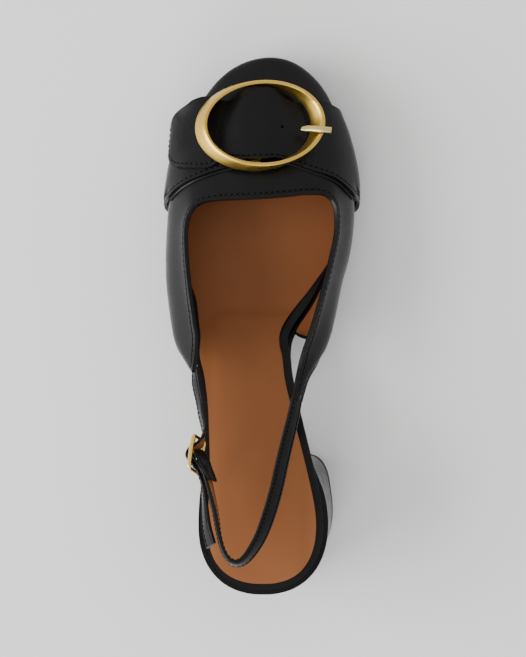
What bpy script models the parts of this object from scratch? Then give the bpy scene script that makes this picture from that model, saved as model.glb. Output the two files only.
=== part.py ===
"""Left slingback pump with a block heel, an oval toe buckle and a buckled heel strap.

Frame: +Y to the toe, +X to the inner side of the foot, +Z up, metres.
Tables hold shares: x of BALL_WIDTH, y of LENGTH, heights of the size named beside the table.
"""
import math
from typing import NamedTuple

import bmesh
import bpy
import numpy as np
from mathutils import Matrix, Vector
from mathutils.bvhtree import BVHTree

# Driving dimensions
LENGTH = 0.244
BALL_WIDTH = 0.089
HEEL_HEIGHT = 0.050
TOE_SPRING = 0.005
CLEARANCE = 0.0003

OUTSOLE_THICKNESS = 0.0030
SEAT_OVERHANG = 0.0020
FOOTBED_THICKNESS = 0.0034
FOOTBED_INSET = 0.0030
SOCK_THICKNESS = 0.0012
SOCK_MARGIN = 0.0042
SOCK_FORE_MARGIN = 0.0005

THROAT_HEIGHT = 0.038
UPPER_WALL = 0.0018

HEEL_TIP_THICKNESS = 0.0050
HEEL_FLARE = 0.0037
HEEL_FRONT_FLARE = 0.0013
HEEL_BREAST = 0.0590
HEEL_BREAST_LEAN = 0.0040
HEEL_BACK_SLOPE = 0.0052
HEEL_CORNER = 0.0090
HEEL_INSET = 0.0004

TOE_STRAP_THICKNESS = 0.0018
RING_HALF_LENGTH = 0.0277
RING_HALF_WIDTH = 0.0223
RING_HEIGHT = 0.0060
RING_RIM = 0.0018
RING_BASE = 0.0029
RING_SHIFT = (0.0046, -0.0010)
RING_TAPER = 0.0010
RING_BAR_WIDTH = 0.0030
RING_BAR_THICKNESS = 0.0019
RING_BAR_DROP = 0.0008
PRONG_WIDTH = 0.0032
PRONG_THICKNESS = 0.0018

STRAP_WIDTH = 0.0065
STRAP_THICKNESS = 0.0018
STRAP_SKIVED = 0.0012
STRAP_RISE = 0.045
FRAME_LENGTH = 0.0154
FRAME_WIRE = 0.0017
FRAME_MARGIN = 0.0009
FRAME_CORNER = 0.0014
FRAME_SAG = 0.0005
SMALL_PRONG_WIDTH = 0.0018
SMALL_PRONG_THICKNESS = 0.0011

HEEL_PLACES = (0.62, 0.995)
HEEL_SAMPLES = 22
HEEL_COUNT = 14
HEEL_TIP_LEVEL = 0.11

# Stretches of y, as shares, over which the shape changes from one form to the next
SEAT_RAMP = (-0.25, -0.32)
FOOTBED_RAMP = (-0.06, -0.02)
SOCK_RAMP = (0.02, 0.12)
HEEL_FRONT_RAMP = (-0.35, -0.25)
HEEL_BACK_RAMP = (-0.24, -0.44)

# Rows of the sole's edge: y, then x on the outer and on the inner side of the foot
EDGE_ROWS = (
    (-0.361, -0.292, 0.316),
    (-0.320, -0.288, 0.303),
    (-0.266, -0.284, 0.270),
    (-0.205, -0.291, 0.227),
    (-0.143, -0.303, 0.185),
    (-0.082, -0.329, 0.149),
    (-0.041, -0.354, 0.142),
    (0.000, -0.382, 0.161),
    (0.029, -0.402, 0.199),
    (0.057, -0.421, 0.258),
    (0.090, -0.438, 0.331),
    (0.123, -0.452, 0.382),
    (0.184, -0.465, 0.431),
    (0.246, -0.464, 0.449),
)
TOE_TIP = (0.031, 0.494)
TOE_POWER = 1.85
HEEL_END = (0.011, -0.484)
HEEL_POWER = 2.3

# Height of the sole's underside: y, share of HEEL_HEIGHT, share of TOE_SPRING
RISE_ROWS = (
    (-0.500, 1.000, 0.00),
    (-0.410, 0.975, 0.00),
    (-0.328, 0.910, 0.00),
    (-0.246, 0.785, 0.00),
    (-0.164, 0.605, 0.00),
    (-0.082, 0.395, 0.00),
    (0.000, 0.180, 0.00),
    (0.041, 0.094, 0.00),
    (0.082, 0.034, 0.00),
    (0.123, 0.006, 0.00),
    (0.156, 0.000, 0.00),
    (0.328, 0.000, 0.00),
    (0.369, 0.000, 0.08),
    (0.410, 0.000, 0.27),
    (0.451, 0.000, 0.57),
    (0.505, 0.000, 1.08),
)


class UpperRow(NamedTuple):
    """One girth line of the upper: its lower end, its widest point and its upper end.

    Each has x, y and its height over the sole as a share of THROAT_HEIGHT.
    """
    foot_x: float
    foot_y: float
    foot_up: float
    side_x: float
    side_y: float
    side_up: float
    top_x: float
    top_y: float
    top_up: float


# Girth lines from the outer tail, round the toe, to the inner tail
UPPER_ROWS = (
    UpperRow(-0.318, -0.086, 0.547, -0.328, -0.081, 0.650, -0.321, -0.075, 0.758),
    UpperRow(-0.351, -0.070, 0.524, -0.357, -0.065, 0.624, -0.318, -0.058, 0.792),
    UpperRow(-0.396, -0.053, 0.410, -0.404, -0.049, 0.508, -0.321, -0.043, 0.813),
    UpperRow(-0.430, -0.040, 0.292, -0.439, -0.036, 0.395, -0.328, -0.027, 0.842),
    UpperRow(-0.408, -0.026, 0.129, -0.454, -0.023, 0.360, -0.336, -0.012, 0.874),
    UpperRow(-0.373, -0.013, 0.000, -0.463, -0.008, 0.370, -0.344, 0.001, 0.900),
    UpperRow(-0.393, 0.016, 0.000, -0.476, 0.018, 0.365, -0.355, 0.027, 0.939),
    UpperRow(-0.426, 0.066, 0.000, -0.497, 0.068, 0.350, -0.373, 0.072, 0.989),
    UpperRow(-0.452, 0.123, 0.000, -0.504, 0.125, 0.340, -0.388, 0.123, 0.984),
    UpperRow(-0.464, 0.189, 0.000, -0.497, 0.189, 0.330, -0.394, 0.170, 0.950),
    UpperRow(-0.461, 0.254, 0.000, -0.483, 0.254, 0.315, -0.378, 0.203, 0.932),
    UpperRow(-0.427, 0.320, 0.000, -0.449, 0.322, 0.300, -0.335, 0.224, 0.932),
    UpperRow(-0.353, 0.383, 0.000, -0.371, 0.390, 0.275, -0.253, 0.232, 0.950),
    UpperRow(-0.238, 0.443, 0.000, -0.258, 0.453, 0.245, -0.135, 0.234, 0.979),
    UpperRow(-0.106, 0.4815, 0.000, -0.116, 0.4935, 0.215, -0.039, 0.235, 0.997),
    UpperRow(0.036, 0.494, 0.000, 0.042, 0.505, 0.200, 0.051, 0.237, 1.000),
    UpperRow(0.166, 0.481, 0.000, 0.182, 0.4905, 0.215, 0.144, 0.240, 0.990),
    UpperRow(0.288, 0.440, 0.000, 0.308, 0.4465, 0.245, 0.228, 0.2435, 0.963),
    UpperRow(0.371, 0.379, 0.000, 0.392, 0.383, 0.275, 0.301, 0.244, 0.929),
    UpperRow(0.425, 0.318, 0.000, 0.446, 0.319, 0.300, 0.357, 0.235, 0.905),
    UpperRow(0.447, 0.254, 0.000, 0.470, 0.253, 0.315, 0.385, 0.212, 0.905),
    UpperRow(0.433, 0.1885, 0.000, 0.466, 0.1865, 0.330, 0.388, 0.178, 0.921),
    UpperRow(0.382, 0.125, 0.000, 0.443, 0.127, 0.345, 0.367, 0.135, 0.953),
    UpperRow(0.309, 0.082, 0.000, 0.413, 0.088, 0.365, 0.340, 0.092, 0.979),
    UpperRow(0.225, 0.045, 0.000, 0.391, 0.051, 0.400, 0.310, 0.051, 0.966),
    UpperRow(0.172, 0.014, 0.000, 0.372, 0.016, 0.420, 0.283, 0.016, 0.929),
    UpperRow(0.151, -0.013, 0.000, 0.358, -0.008, 0.440, 0.261, -0.008, 0.887),
    UpperRow(0.230, -0.026, 0.179, 0.344, -0.025, 0.458, 0.245, -0.025, 0.855),
    UpperRow(0.301, -0.0475, 0.345, 0.321, -0.046, 0.455, 0.224, -0.047, 0.805),
    UpperRow(0.281, -0.072, 0.442, 0.281, -0.069, 0.532, 0.204, -0.070, 0.747),
    UpperRow(0.239, -0.100, 0.495, 0.231, -0.098, 0.582, 0.185, -0.096, 0.684),
    UpperRow(0.209, -0.139, 0.492, 0.193, -0.136, 0.563, 0.164, -0.133, 0.621),
)
ROW_STEPS = 2
GIRTH_STEPS = 12
SIDE_SHARE = 0.27
FEATHER_OUT = 0.92
FEATHER_UP = 0.28


class Sweep(NamedTuple):
    """Handles of a girth line from the widest point to the topline."""
    rise: float
    reach: float
    drop: float


SIDE_SWEEP = Sweep(rise=0.45, reach=0.30, drop=0.38)
VAMP_SWEEP = Sweep(rise=0.10, reach=0.45, drop=0.25)
SWEEP_FLATNESS = (0.27, 0.71)


def clear_scene() -> None:
    """Remove every object of the open file."""
    for obj in list(bpy.data.objects):
        bpy.data.objects.remove(obj)


def material(name: str, colour: tuple, roughness: float, metallic: float = 0.0):
    """Return a new Principled material."""
    mat = bpy.data.materials.new(name)
    mat.use_nodes = True
    shader = mat.node_tree.nodes["Principled BSDF"]
    shader.inputs["Base Color"].default_value = (*colour, 1.0)
    shader.inputs["Roughness"].default_value = roughness
    shader.inputs["Metallic"].default_value = metallic
    return mat


def smoothstep(low: float, high: float, value: float) -> float:
    """Return 0 below low, 1 above high and a smooth ramp between."""
    share = min(max((value - low) / (high - low), 0.0), 1.0)
    return share * share * (3.0 - 2.0 * share)


def slopes(xs: np.ndarray, ys: np.ndarray, flat_ends: bool) -> np.ndarray:
    """Return slopes that keep a cubic through the rows free of overshoot."""
    step = np.diff(xs)
    rate = np.diff(ys) / step
    slope = np.zeros(len(xs))
    for i in range(1, len(xs) - 1):
        if rate[i - 1] * rate[i] > 0.0:
            middle = (ys[i + 1] - ys[i - 1]) / (xs[i + 1] - xs[i - 1])
            limit = 3.0 * min(abs(rate[i - 1]), abs(rate[i]))
            slope[i] = math.copysign(min(abs(middle), limit), middle)
    if not flat_ends:
        slope[0] = rate[0]
        slope[-1] = rate[-1]
    return slope


class Curve:
    """A smooth curve through rows of a table, without overshoot."""

    def __init__(self, xs, ys, flat_ends: bool = False):
        self.xs = np.asarray(xs, dtype=float)
        self.ys = np.asarray(ys, dtype=float)
        self.slope = slopes(self.xs, self.ys, flat_ends)

    def __call__(self, x: float) -> float:
        """Return the curve's value at x, held at its end values outside the rows."""
        x = min(max(x, self.xs[0]), self.xs[-1])
        i = min(int(np.searchsorted(self.xs, x, side="right")) - 1, len(self.xs) - 2)
        step = self.xs[i + 1] - self.xs[i]
        t = (x - self.xs[i]) / step
        share = smoothstep(0.0, 1.0, t)
        level = (1.0 - share) * self.ys[i] + share * self.ys[i + 1]
        lean = t * (1.0 - t) ** 2 * self.slope[i] - t * t * (1.0 - t) * self.slope[i + 1]
        return level + step * lean


OUTER_EDGE = Curve([r[0] for r in EDGE_ROWS], [r[1] for r in EDGE_ROWS], flat_ends=True)
INNER_EDGE = Curve([r[0] for r in EDGE_ROWS], [r[2] for r in EDGE_ROWS], flat_ends=True)
SOLE_RISE = Curve([r[0] for r in RISE_ROWS], [r[1] for r in RISE_ROWS])
SPRING_RISE = Curve([r[0] for r in RISE_ROWS], [r[2] for r in RISE_ROWS])


def sole_height(y: float) -> float:
    """Return the height of the sole's underside at y metres."""
    share = y / LENGTH
    return SOLE_RISE(share) * HEEL_HEIGHT + SPRING_RISE(share) * TOE_SPRING


def seat_height(y: float) -> float:
    """Return the height at y metres on which upper and footbed lie."""
    return sole_height(y) + OUTSOLE_THICKNESS + CLEARANCE


def cap_point(tip: tuple, row: tuple, power: float, turn: float, side: int) -> tuple:
    """Return a point of a round end, from its tip at turn 0 to the table's row at turn 1.

    Args:
        tip: x and y of the end's tip, as shares.
        row: the table's row where the round end starts.
        power: the exponent of the end's rounding.
        turn: the place along a quarter turn.
        side: 1 on the inner side of the foot, -1 on the outer side.
    """
    middle = 0.5 * (row[1] + row[2])
    half = 0.5 * (row[2] - row[1])
    angle = turn * math.pi / 2.0
    along = math.cos(angle) ** (2.0 / power)
    across = math.sin(angle) ** (2.0 / power)
    y = row[0] + (tip[1] - row[0]) * along
    x = middle + (tip[0] - middle) * along + side * half * across
    return x * BALL_WIDTH, y * LENGTH


TOE_TURNS = 0.30
HEEL_TURNS = 0.80


def edge_point(place: float, side: int) -> tuple:
    """Return a point of the sole's edge, from the toe at place 0 to the heel at place 1."""
    if place < TOE_TURNS:
        return cap_point(TOE_TIP, EDGE_ROWS[-1], TOE_POWER, place / TOE_TURNS, side)
    if place > HEEL_TURNS:
        return cap_point(HEEL_END, EDGE_ROWS[0], HEEL_POWER, (1.0 - place) / (1.0 - HEEL_TURNS), side)
    share = (place - TOE_TURNS) / (HEEL_TURNS - TOE_TURNS)
    y = EDGE_ROWS[-1][0] + (EDGE_ROWS[0][0] - EDGE_ROWS[-1][0]) * share
    curve = INNER_EDGE if side > 0 else OUTER_EDGE
    return curve(y) * BALL_WIDTH, y * LENGTH


def offset_edge(place: float, side: int, outward) -> Vector:
    """Return a point of the edge moved outward by outward(y) metres."""
    nudge = 0.002
    before = Vector(edge_point(max(place - nudge, 0.0), side))
    after = Vector(edge_point(min(place + nudge, 1.0), side))
    here = Vector(edge_point(place, side))
    run = (after - before).normalized()
    normal = Vector((-run.y, run.x)) * side
    return here + normal * outward(here.y)


SLAB_COLUMNS = 4
SLAB_ENDS = (0.012, 0.992)


def sole_places() -> list:
    """Return places from toe to heel, closer together round both ends."""
    toe = [TOE_TURNS * i / 10.0 for i in range(10)]
    waist_steps = 22
    waist = [TOE_TURNS + (HEEL_TURNS - TOE_TURNS) * i / waist_steps for i in range(waist_steps)]
    heel = [HEEL_TURNS + (1.0 - HEEL_TURNS) * i / 9.0 for i in range(10)]
    places = toe + waist + heel
    places[0], places[-1] = SLAB_ENDS
    return places


def slab(name: str, outward, bottom, top, mat):
    """Build a plate with the sole's outline between two heights given along y.

    Args:
        name: the object's name.
        outward: the edge's offset outward, as a function of y.
        bottom: height of the underside, as a function of y.
        top: height of the upper face, as a function of y.
        mat: its material.
    """
    mesh = bmesh.new()
    places = sole_places()
    columns = SLAB_COLUMNS
    layers = []
    for height in (bottom, top):
        rows = []
        for place in places:
            outer = offset_edge(place, -1, outward)
            inner = offset_edge(place, 1, outward)
            row = []
            for i in range(columns + 1):
                spot = outer.lerp(inner, i / columns)
                row.append(mesh.verts.new((spot.x, spot.y, height(spot.y))))
            rows.append(row)
        layers.append(rows)
    low, high = layers
    for j in range(len(places) - 1):
        for i in range(columns):
            mesh.faces.new((low[j][i], low[j][i + 1], low[j + 1][i + 1], low[j + 1][i]))
            mesh.faces.new((high[j][i], high[j + 1][i], high[j + 1][i + 1], high[j][i + 1]))
        mesh.faces.new((low[j][0], low[j + 1][0], high[j + 1][0], high[j][0]))
        mesh.faces.new((low[j][-1], high[j][-1], high[j + 1][-1], low[j + 1][-1]))
    for i in range(columns):
        mesh.faces.new((low[0][i], high[0][i], high[0][i + 1], low[0][i + 1]))
        mesh.faces.new((low[-1][i], low[-1][i + 1], high[-1][i + 1], high[-1][i]))
    return finish_mesh(name, mesh, mat)


def finish_mesh(name: str, mesh, mat, sharp: float = 40.0):
    """Turn a bmesh into a smooth-shaded object of the scene."""
    bmesh.ops.recalc_face_normals(mesh, faces=mesh.faces)
    data = bpy.data.meshes.new(name)
    mesh.to_mesh(data)
    mesh.free()
    data.materials.append(mat)
    data.shade_smooth()
    data.set_sharp_from_angle(angle=math.radians(sharp))
    obj = bpy.data.objects.new(name, data)
    bpy.context.scene.collection.objects.link(obj)
    return obj


def seat_overhang(y: float) -> float:
    """Return how far the outsole stands out beyond the footbed, more round the heel."""
    return SEAT_OVERHANG * smoothstep(*SEAT_RAMP, y / LENGTH)


def make_outsole(mat):
    """Build the outsole with toe spring, flat tread, arch and heel seat."""
    return slab("outsole", seat_overhang, sole_height,
                lambda y: sole_height(y) + OUTSOLE_THICKNESS, mat)


def footbed_outward(y: float) -> float:
    """Return the footbed's offset: full at waist and heel, inside the upper in front."""
    return -FOOTBED_INSET * smoothstep(*FOOTBED_RAMP, y / LENGTH)


def make_footbed(mat):
    """Build the wrapped insole board."""
    return slab("footbed", footbed_outward, seat_height,
                lambda y: seat_height(y) + FOOTBED_THICKNESS, mat)


def sock_outward(y: float) -> float:
    """Return the sock's offset: a wide margin at waist and heel, a narrow one in front."""
    blend = smoothstep(*SOCK_RAMP, y / LENGTH)
    margin = SOCK_MARGIN + (SOCK_FORE_MARGIN - SOCK_MARGIN) * blend
    return footbed_outward(y) - margin


def sock_base(y: float) -> float:
    """Return the height of the sock's underside."""
    return seat_height(y) + FOOTBED_THICKNESS + CLEARANCE


def make_sock(mat):
    """Build the leather sock on the footbed."""
    return slab("sock", sock_outward, sock_base, lambda y: sock_base(y) + SOCK_THICKNESS, mat)


def bezier(points: tuple, t: float) -> Vector:
    """Return the point at t of a curve with two or three handles."""
    row = [Vector(p) for p in points]
    while len(row) > 1:
        row = [row[i].lerp(row[i + 1], t) for i in range(len(row) - 1)]
    return row[0]


UPPER_CURVES = [Curve(range(len(UPPER_ROWS)), column) for column in zip(*UPPER_ROWS)]


def upper_anchor(values: list) -> Vector:
    """Turn x, y and height shares into a point over the sole."""
    x, y, up = values
    return Vector((x * BALL_WIDTH, y * LENGTH, seat_height(y * LENGTH) + up * THROAT_HEIGHT))


def upper_point(place: float, girth: float) -> Vector:
    """Return a point of the upper's outer face.

    Args:
        place: the place along the rows, from 0 at the outer tail.
        girth: 0 at the lower end, 1 at the topline.
    """
    values = [curve(place) for curve in UPPER_CURVES]
    foot = upper_anchor(values[0:3])
    side = upper_anchor(values[3:6])
    top = upper_anchor(values[6:9])
    if girth < SIDE_SHARE:
        corner = foot.lerp(side, FEATHER_OUT)
        corner.z = foot.z + FEATHER_UP * (side.z - foot.z)
        return bezier((foot, corner, side), girth / SIDE_SHARE)
    inward = side - top
    height = top.z - side.z
    flat = math.hypot(inward.x, inward.y)
    blend = smoothstep(*SWEEP_FLATNESS, flat / (flat + height))
    sweep = [a + (b - a) * blend for a, b in zip(SIDE_SWEEP, VAMP_SWEEP)]
    low = side + Vector((0.0, 0.0, sweep[0] * height))
    high = top + Vector((sweep[1] * inward.x, sweep[1] * inward.y, -sweep[2] * height))
    return bezier((side, low, high, top), (girth - SIDE_SHARE) / (1.0 - SIDE_SHARE))


def upper_faces(mesh, row_steps: int, girth_steps: int) -> None:
    """Add the upper's outer face to a bmesh."""
    count = (len(UPPER_ROWS) - 1) * row_steps
    rows = []
    for i in range(count + 1):
        row = []
        for j in range(girth_steps + 1):
            row.append(mesh.verts.new(upper_point(i / row_steps, j / girth_steps)))
        rows.append(row)
    for i in range(count):
        for j in range(girth_steps):
            mesh.faces.new((rows[i][j], rows[i][j + 1], rows[i + 1][j + 1], rows[i + 1][j]))


def make_upper(mat):
    """Build the upper as one hollow wall."""
    mesh = bmesh.new()
    upper_faces(mesh, ROW_STEPS, GIRTH_STEPS)
    upper = finish_mesh("upper", mesh, mat)
    wall = upper.modifiers.new("wall", "SOLIDIFY")
    wall.thickness = UPPER_WALL
    wall.offset = -1.0
    wall.use_even_offset = True
    return upper


def heel_outline(level: float) -> tuple:
    """Return both sides of the heel's outline, at level 0 on the floor and 1 under the sole."""
    spread = (1.0 - level) ** 1.3

    def outward(y: float) -> float:
        front = HEEL_FRONT_FLARE * smoothstep(*HEEL_FRONT_RAMP, y / LENGTH)
        top = seat_overhang(y) - HEEL_INSET
        return top + (HEEL_FLARE + front - top) * spread

    breast = -HEEL_BREAST + HEEL_BREAST_LEAN * level ** 2
    sides = []
    for side in (-1, 1):
        line = []
        for i in range(HEEL_SAMPLES + 1):
            place = HEEL_PLACES[0] + (HEEL_PLACES[1] - HEEL_PLACES[0]) * i / HEEL_SAMPLES
            spot = offset_edge(place, side, outward)
            lean = smoothstep(*HEEL_BACK_RAMP, spot.y / LENGTH)
            spot.y += HEEL_BACK_SLOPE * (1.0 - level) * lean
            line.append(spot)
        sides.append(clip_breast(line, breast))
    return sides[0], sides[1]


def clip_breast(line: list, breast: float) -> list:
    """Return the line from the breast back, resampled to a fixed count."""
    kept = [line[0]]
    for before, after in zip(line, line[1:]):
        if after.y > breast:
            kept = [after]
            continue
        if before.y > breast:
            share = (before.y - breast) / (before.y - after.y)
            kept = [before.lerp(after, share)]
        kept.append(after)
    lengths = [0.0]
    for before, after in zip(kept, kept[1:]):
        lengths.append(lengths[-1] + (after - before).length)
    spots = []
    for i in range(HEEL_COUNT + 1):
        goal = lengths[-1] * i / HEEL_COUNT
        j = max(1, min(int(np.searchsorted(lengths, goal)), len(kept) - 1))
        share = (goal - lengths[j - 1]) / (lengths[j] - lengths[j - 1])
        spots.append(kept[j - 1].lerp(kept[j], share))
    return spots


def heel_ring(height_share: float) -> list:
    """Return the closed outline of the heel with rounded front corners."""
    outer, inner = heel_outline(height_share)
    width = (inner[0] - outer[0]).length
    round_share = HEEL_CORNER / width
    ring = []
    corner_steps = 4
    for line, other in ((outer, inner), (inner, outer)):
        corner = line[0]
        front = corner.lerp(other[0], round_share)
        back_index = 2
        back = line[back_index]
        arc = [bezier2(front, corner, back, i / corner_steps) for i in range(corner_steps)]
        ring.append(arc + line[back_index:])
    return ring[0] + list(reversed(ring[1]))


def bezier2(start, handle, end, t: float):
    """Return a point of a curve with one handle."""
    return start.lerp(handle, t).lerp(handle.lerp(end, t), t)


def heel_solid(name: str, levels: list, height, mat):
    """Loft the heel's outlines between levels.

    Args:
        name: the object's name.
        levels: height shares of the rings, from the bottom up.
        height: the height in metres of a ring's point, from its share and y.
        mat: its material.
    """
    mesh = bmesh.new()
    rings = []
    for level in levels:
        ring = [mesh.verts.new((spot.x, spot.y, height(level, spot.y))) for spot in heel_ring(level)]
        rings.append(ring)
    size = len(rings[0])
    for low, high in zip(rings, rings[1:]):
        for i in range(size):
            j = (i + 1) % size
            mesh.faces.new((low[i], low[j], high[j], high[i]))
    half = size // 2
    for ring in (rings[0], rings[-1]):
        for i in range(half - 1):
            mesh.faces.new((ring[i], ring[i + 1], ring[size - 2 - i], ring[size - 1 - i]))
    return finish_mesh(name, mesh, mat)


def heel_top(y: float) -> float:
    """Return the height of the heel block's top at y."""
    return sole_height(y) - CLEARANCE


def make_heel_block(mat):
    """Build the covered heel block under the seat."""
    base = HEEL_TIP_THICKNESS + CLEARANCE
    levels = [HEEL_TIP_LEVEL, 0.22, 0.37, 0.53, 0.69, 0.85, 1.0]

    def height(level: float, y: float) -> float:
        share = (level - HEEL_TIP_LEVEL) / (1.0 - HEEL_TIP_LEVEL)
        return base + (heel_top(y) - base) * share

    return heel_solid("heel_block", levels, height, mat)


def make_heel_tip(mat):
    """Build the rubber top piece that meets the floor."""
    return heel_solid("heel_tip", [0.0, HEEL_TIP_LEVEL],
                      lambda level, y: HEEL_TIP_THICKNESS * level / HEEL_TIP_LEVEL, mat)


class ToeStrapRow(NamedTuple):
    """A line across a toe strap: its place round the vamp, both edges and their lifts.

    girth is 0 on the crest, 1 at the inner and -1 at the outer feather line; rear and
    front are shares of LENGTH; lifts over the vamp are shares of TOE_STRAP_THICKNESS.
    """
    girth: float
    rear: float
    front: float
    rear_lift: float
    front_lift: float


OVER_ROWS = (
    ToeStrapRow(0.99, 0.216, 0.372, 0.28, 0.28),
    ToeStrapRow(0.88, 0.222, 0.388, 0.44, 0.44),
    ToeStrapRow(0.77, 0.232, 0.402, 0.50, 0.50),
    ToeStrapRow(0.65, 0.250, 0.412, 0.39, 0.39),
    ToeStrapRow(0.50, 0.274, 0.418, 0.22, 0.22),
    ToeStrapRow(0.39, 0.283, 0.413, 0.17, 0.17),
    ToeStrapRow(0.30, 0.292, 0.412, 0.17, 0.17),
    ToeStrapRow(0.21, 0.308, 0.415, 0.50, 0.78),
    ToeStrapRow(0.11, 0.313, 0.429, 1.60, 1.78),
    ToeStrapRow(0.00, 0.304, 0.435, 2.39, 2.39),
    ToeStrapRow(-0.14, 0.304, 0.435, 2.39, 2.39),
    ToeStrapRow(-0.25, 0.311, 0.426, 1.83, 1.89),
    ToeStrapRow(-0.35, 0.299, 0.413, 1.22, 1.33),
    ToeStrapRow(-0.44, 0.290, 0.412, 1.25, 1.56),
    ToeStrapRow(-0.54, 0.2895, 0.416, 1.33, 2.10),
    ToeStrapRow(-0.65, 0.293, 0.410, 1.33, 3.10),
    ToeStrapRow(-0.70, 0.299, 0.401, 1.42, 3.60),
    ToeStrapRow(-0.74, 0.308, 0.391, 1.50, 4.00),
    ToeStrapRow(-0.77, 0.322, 0.380, 1.56, 4.05),
    ToeStrapRow(-0.79, 0.341, 0.364, 1.56, 3.40),
)
UNDER_ROWS = (
    ToeStrapRow(-0.99, 0.214, 0.335, 0.28, 0.28),
    ToeStrapRow(-0.88, 0.219, 0.348, 0.42, 0.42),
    ToeStrapRow(-0.77, 0.229, 0.362, 0.46, 0.46),
    ToeStrapRow(-0.65, 0.249, 0.377, 0.28, 0.28),
    ToeStrapRow(-0.50, 0.269, 0.392, 0.17, 0.17),
    ToeStrapRow(-0.35, 0.284, 0.402, 0.11, 0.11),
    ToeStrapRow(-0.20, 0.295, 0.405, 0.11, 0.11),
)
AXIS_UP = 0.010
SECTION_RAYS = 40
TOE_STRAP_STEPS = 2
TOE_STRAP_COLUMNS = 8


def edge_x(y: float, side: int) -> float:
    """Return the x of the sole's edge at y metres, ahead of the heel's round end."""
    share = y / LENGTH
    last = EDGE_ROWS[-1]
    if share <= last[0]:
        curve = INNER_EDGE if side > 0 else OUTER_EDGE
        return curve(share) * BALL_WIDTH
    along = min((share - last[0]) / (TOE_TIP[1] - last[0]), 1.0)
    across = (1.0 - along ** TOE_POWER) ** (1.0 / TOE_POWER)
    middle = 0.5 * (last[1] + last[2])
    half = 0.5 * (last[2] - last[1])
    return (middle + (TOE_TIP[0] - middle) * along + side * half * across) * BALL_WIDTH


class Vamp:
    """The upper's outer face, asked for points along its cross-sections."""

    def __init__(self):
        mesh = bmesh.new()
        upper_faces(mesh, 3 * ROW_STEPS, 3 * GIRTH_STEPS)
        bmesh.ops.triangulate(mesh, faces=mesh.faces)
        self.tree = BVHTree.FromBMesh(mesh)
        mesh.free()

    def section(self, y: float, side: int) -> tuple:
        """Return the points and normals of a cross-section, from the crest to the feather."""
        middle = 0.5 * (edge_x(y, -1) + edge_x(y, 1))
        seat = seat_height(y)
        axis = Vector((middle, y, seat + AXIS_UP))
        last = math.atan2(abs(edge_x(y, side) - middle), seat - axis.z + 2.0 * CLEARANCE)
        points = []
        normals = []
        for i in range(SECTION_RAYS + 1):
            angle = last * i / SECTION_RAYS
            ray = Vector((side * math.sin(angle), 0.0, math.cos(angle)))
            point, normal, _, _ = self.tree.ray_cast(axis, ray)
            if point is None:
                continue
            if normal.dot(ray) < 0.0:
                normal = -normal
            points.append(point)
            normals.append(normal)
        return points, normals

    def point(self, y: float, girth: float, lift: float) -> Vector:
        """Return the point at a share of the way to the feather, lifted off the face."""
        side = 1 if girth > 0.0 else -1
        points, normals = self.section(y, side)
        lengths = [0.0]
        for before, after in zip(points, points[1:]):
            lengths.append(lengths[-1] + (after - before).length)
        goal = abs(girth) * lengths[-1]
        i = max(1, min(int(np.searchsorted(lengths, goal)), len(points) - 1))
        share = (goal - lengths[i - 1]) / (lengths[i] - lengths[i - 1])
        spot = points[i - 1].lerp(points[i], share)
        normal = normals[i - 1].lerp(normals[i], share).normalized()
        return spot + normal * lift


def make_toe_strap(name: str, rows: tuple, vamp: Vamp, mat):
    """Build a strap over the vamp from its rows."""
    curves = [Curve(range(len(rows)), column) for column in zip(*rows)]
    mesh = bmesh.new()
    count = (len(rows) - 1) * TOE_STRAP_STEPS
    layers = []
    for rise in (0.0, TOE_STRAP_THICKNESS):
        grid = []
        for i in range(count + 1):
            girth, rear, front, rear_lift, front_lift = [curve(i / TOE_STRAP_STEPS) for curve in curves]
            line = []
            for j in range(TOE_STRAP_COLUMNS + 1):
                share = j / TOE_STRAP_COLUMNS
                y = (rear + (front - rear) * share) * LENGTH
                lift = (rear_lift + (front_lift - rear_lift) * share) * TOE_STRAP_THICKNESS
                line.append(mesh.verts.new(vamp.point(y, girth, lift + rise)))
            grid.append(line)
        layers.append(grid)
    close_layers(mesh, layers[0], layers[1])
    return finish_mesh(name, mesh, mat)


def close_layers(mesh, low: list, high: list) -> None:
    """Join two grids of vertices into a closed plate."""
    rows = len(low)
    columns = len(low[0])
    for i in range(rows - 1):
        for j in range(columns - 1):
            mesh.faces.new((low[i][j], low[i][j + 1], low[i + 1][j + 1], low[i + 1][j]))
            mesh.faces.new((high[i][j], high[i + 1][j], high[i + 1][j + 1], high[i][j + 1]))
        mesh.faces.new((low[i][0], low[i + 1][0], high[i + 1][0], high[i][0]))
        mesh.faces.new((low[i][-1], high[i][-1], high[i + 1][-1], low[i + 1][-1]))
    for j in range(columns - 1):
        mesh.faces.new((low[0][j], high[0][j], high[0][j + 1], low[0][j + 1]))
        mesh.faces.new((low[-1][j], low[-1][j + 1], high[-1][j + 1], high[-1][j]))


# Place of the big ring: centre of its base, tilt to the toe and roll to the inner side
RING_CENTRE = (-0.033, 0.3706, 0.738)
RING_TILT = math.radians(20.3)
RING_ROLL = math.radians(-2.0)
RING_STEPS = 56


def ring_frame() -> Matrix:
    """Return the big ring's frame: x to the inner side, y to the toe along the vamp."""
    x, y, up = RING_CENTRE
    height = seat_height(y * LENGTH) + up * THROAT_HEIGHT + TOE_STRAP_THICKNESS
    place = Vector((x * BALL_WIDTH, y * LENGTH, height))
    turn = Matrix.Rotation(-RING_TILT, 4, "X") @ Matrix.Rotation(RING_ROLL, 4, "Y")
    return Matrix.Translation(place) @ turn


def ring_point(angle: float, level: float, inset: float) -> Vector:
    """Return a point of the ring, at level 0 on its base and 1 on its rim."""
    x = (RING_HALF_LENGTH - inset) * math.cos(angle) + RING_SHIFT[0] * level
    y = (RING_HALF_WIDTH - inset - RING_TAPER * level) * math.sin(angle) + RING_SHIFT[1] * level
    return ring_frame() @ Vector((x, y, RING_HEIGHT * level))


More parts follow.
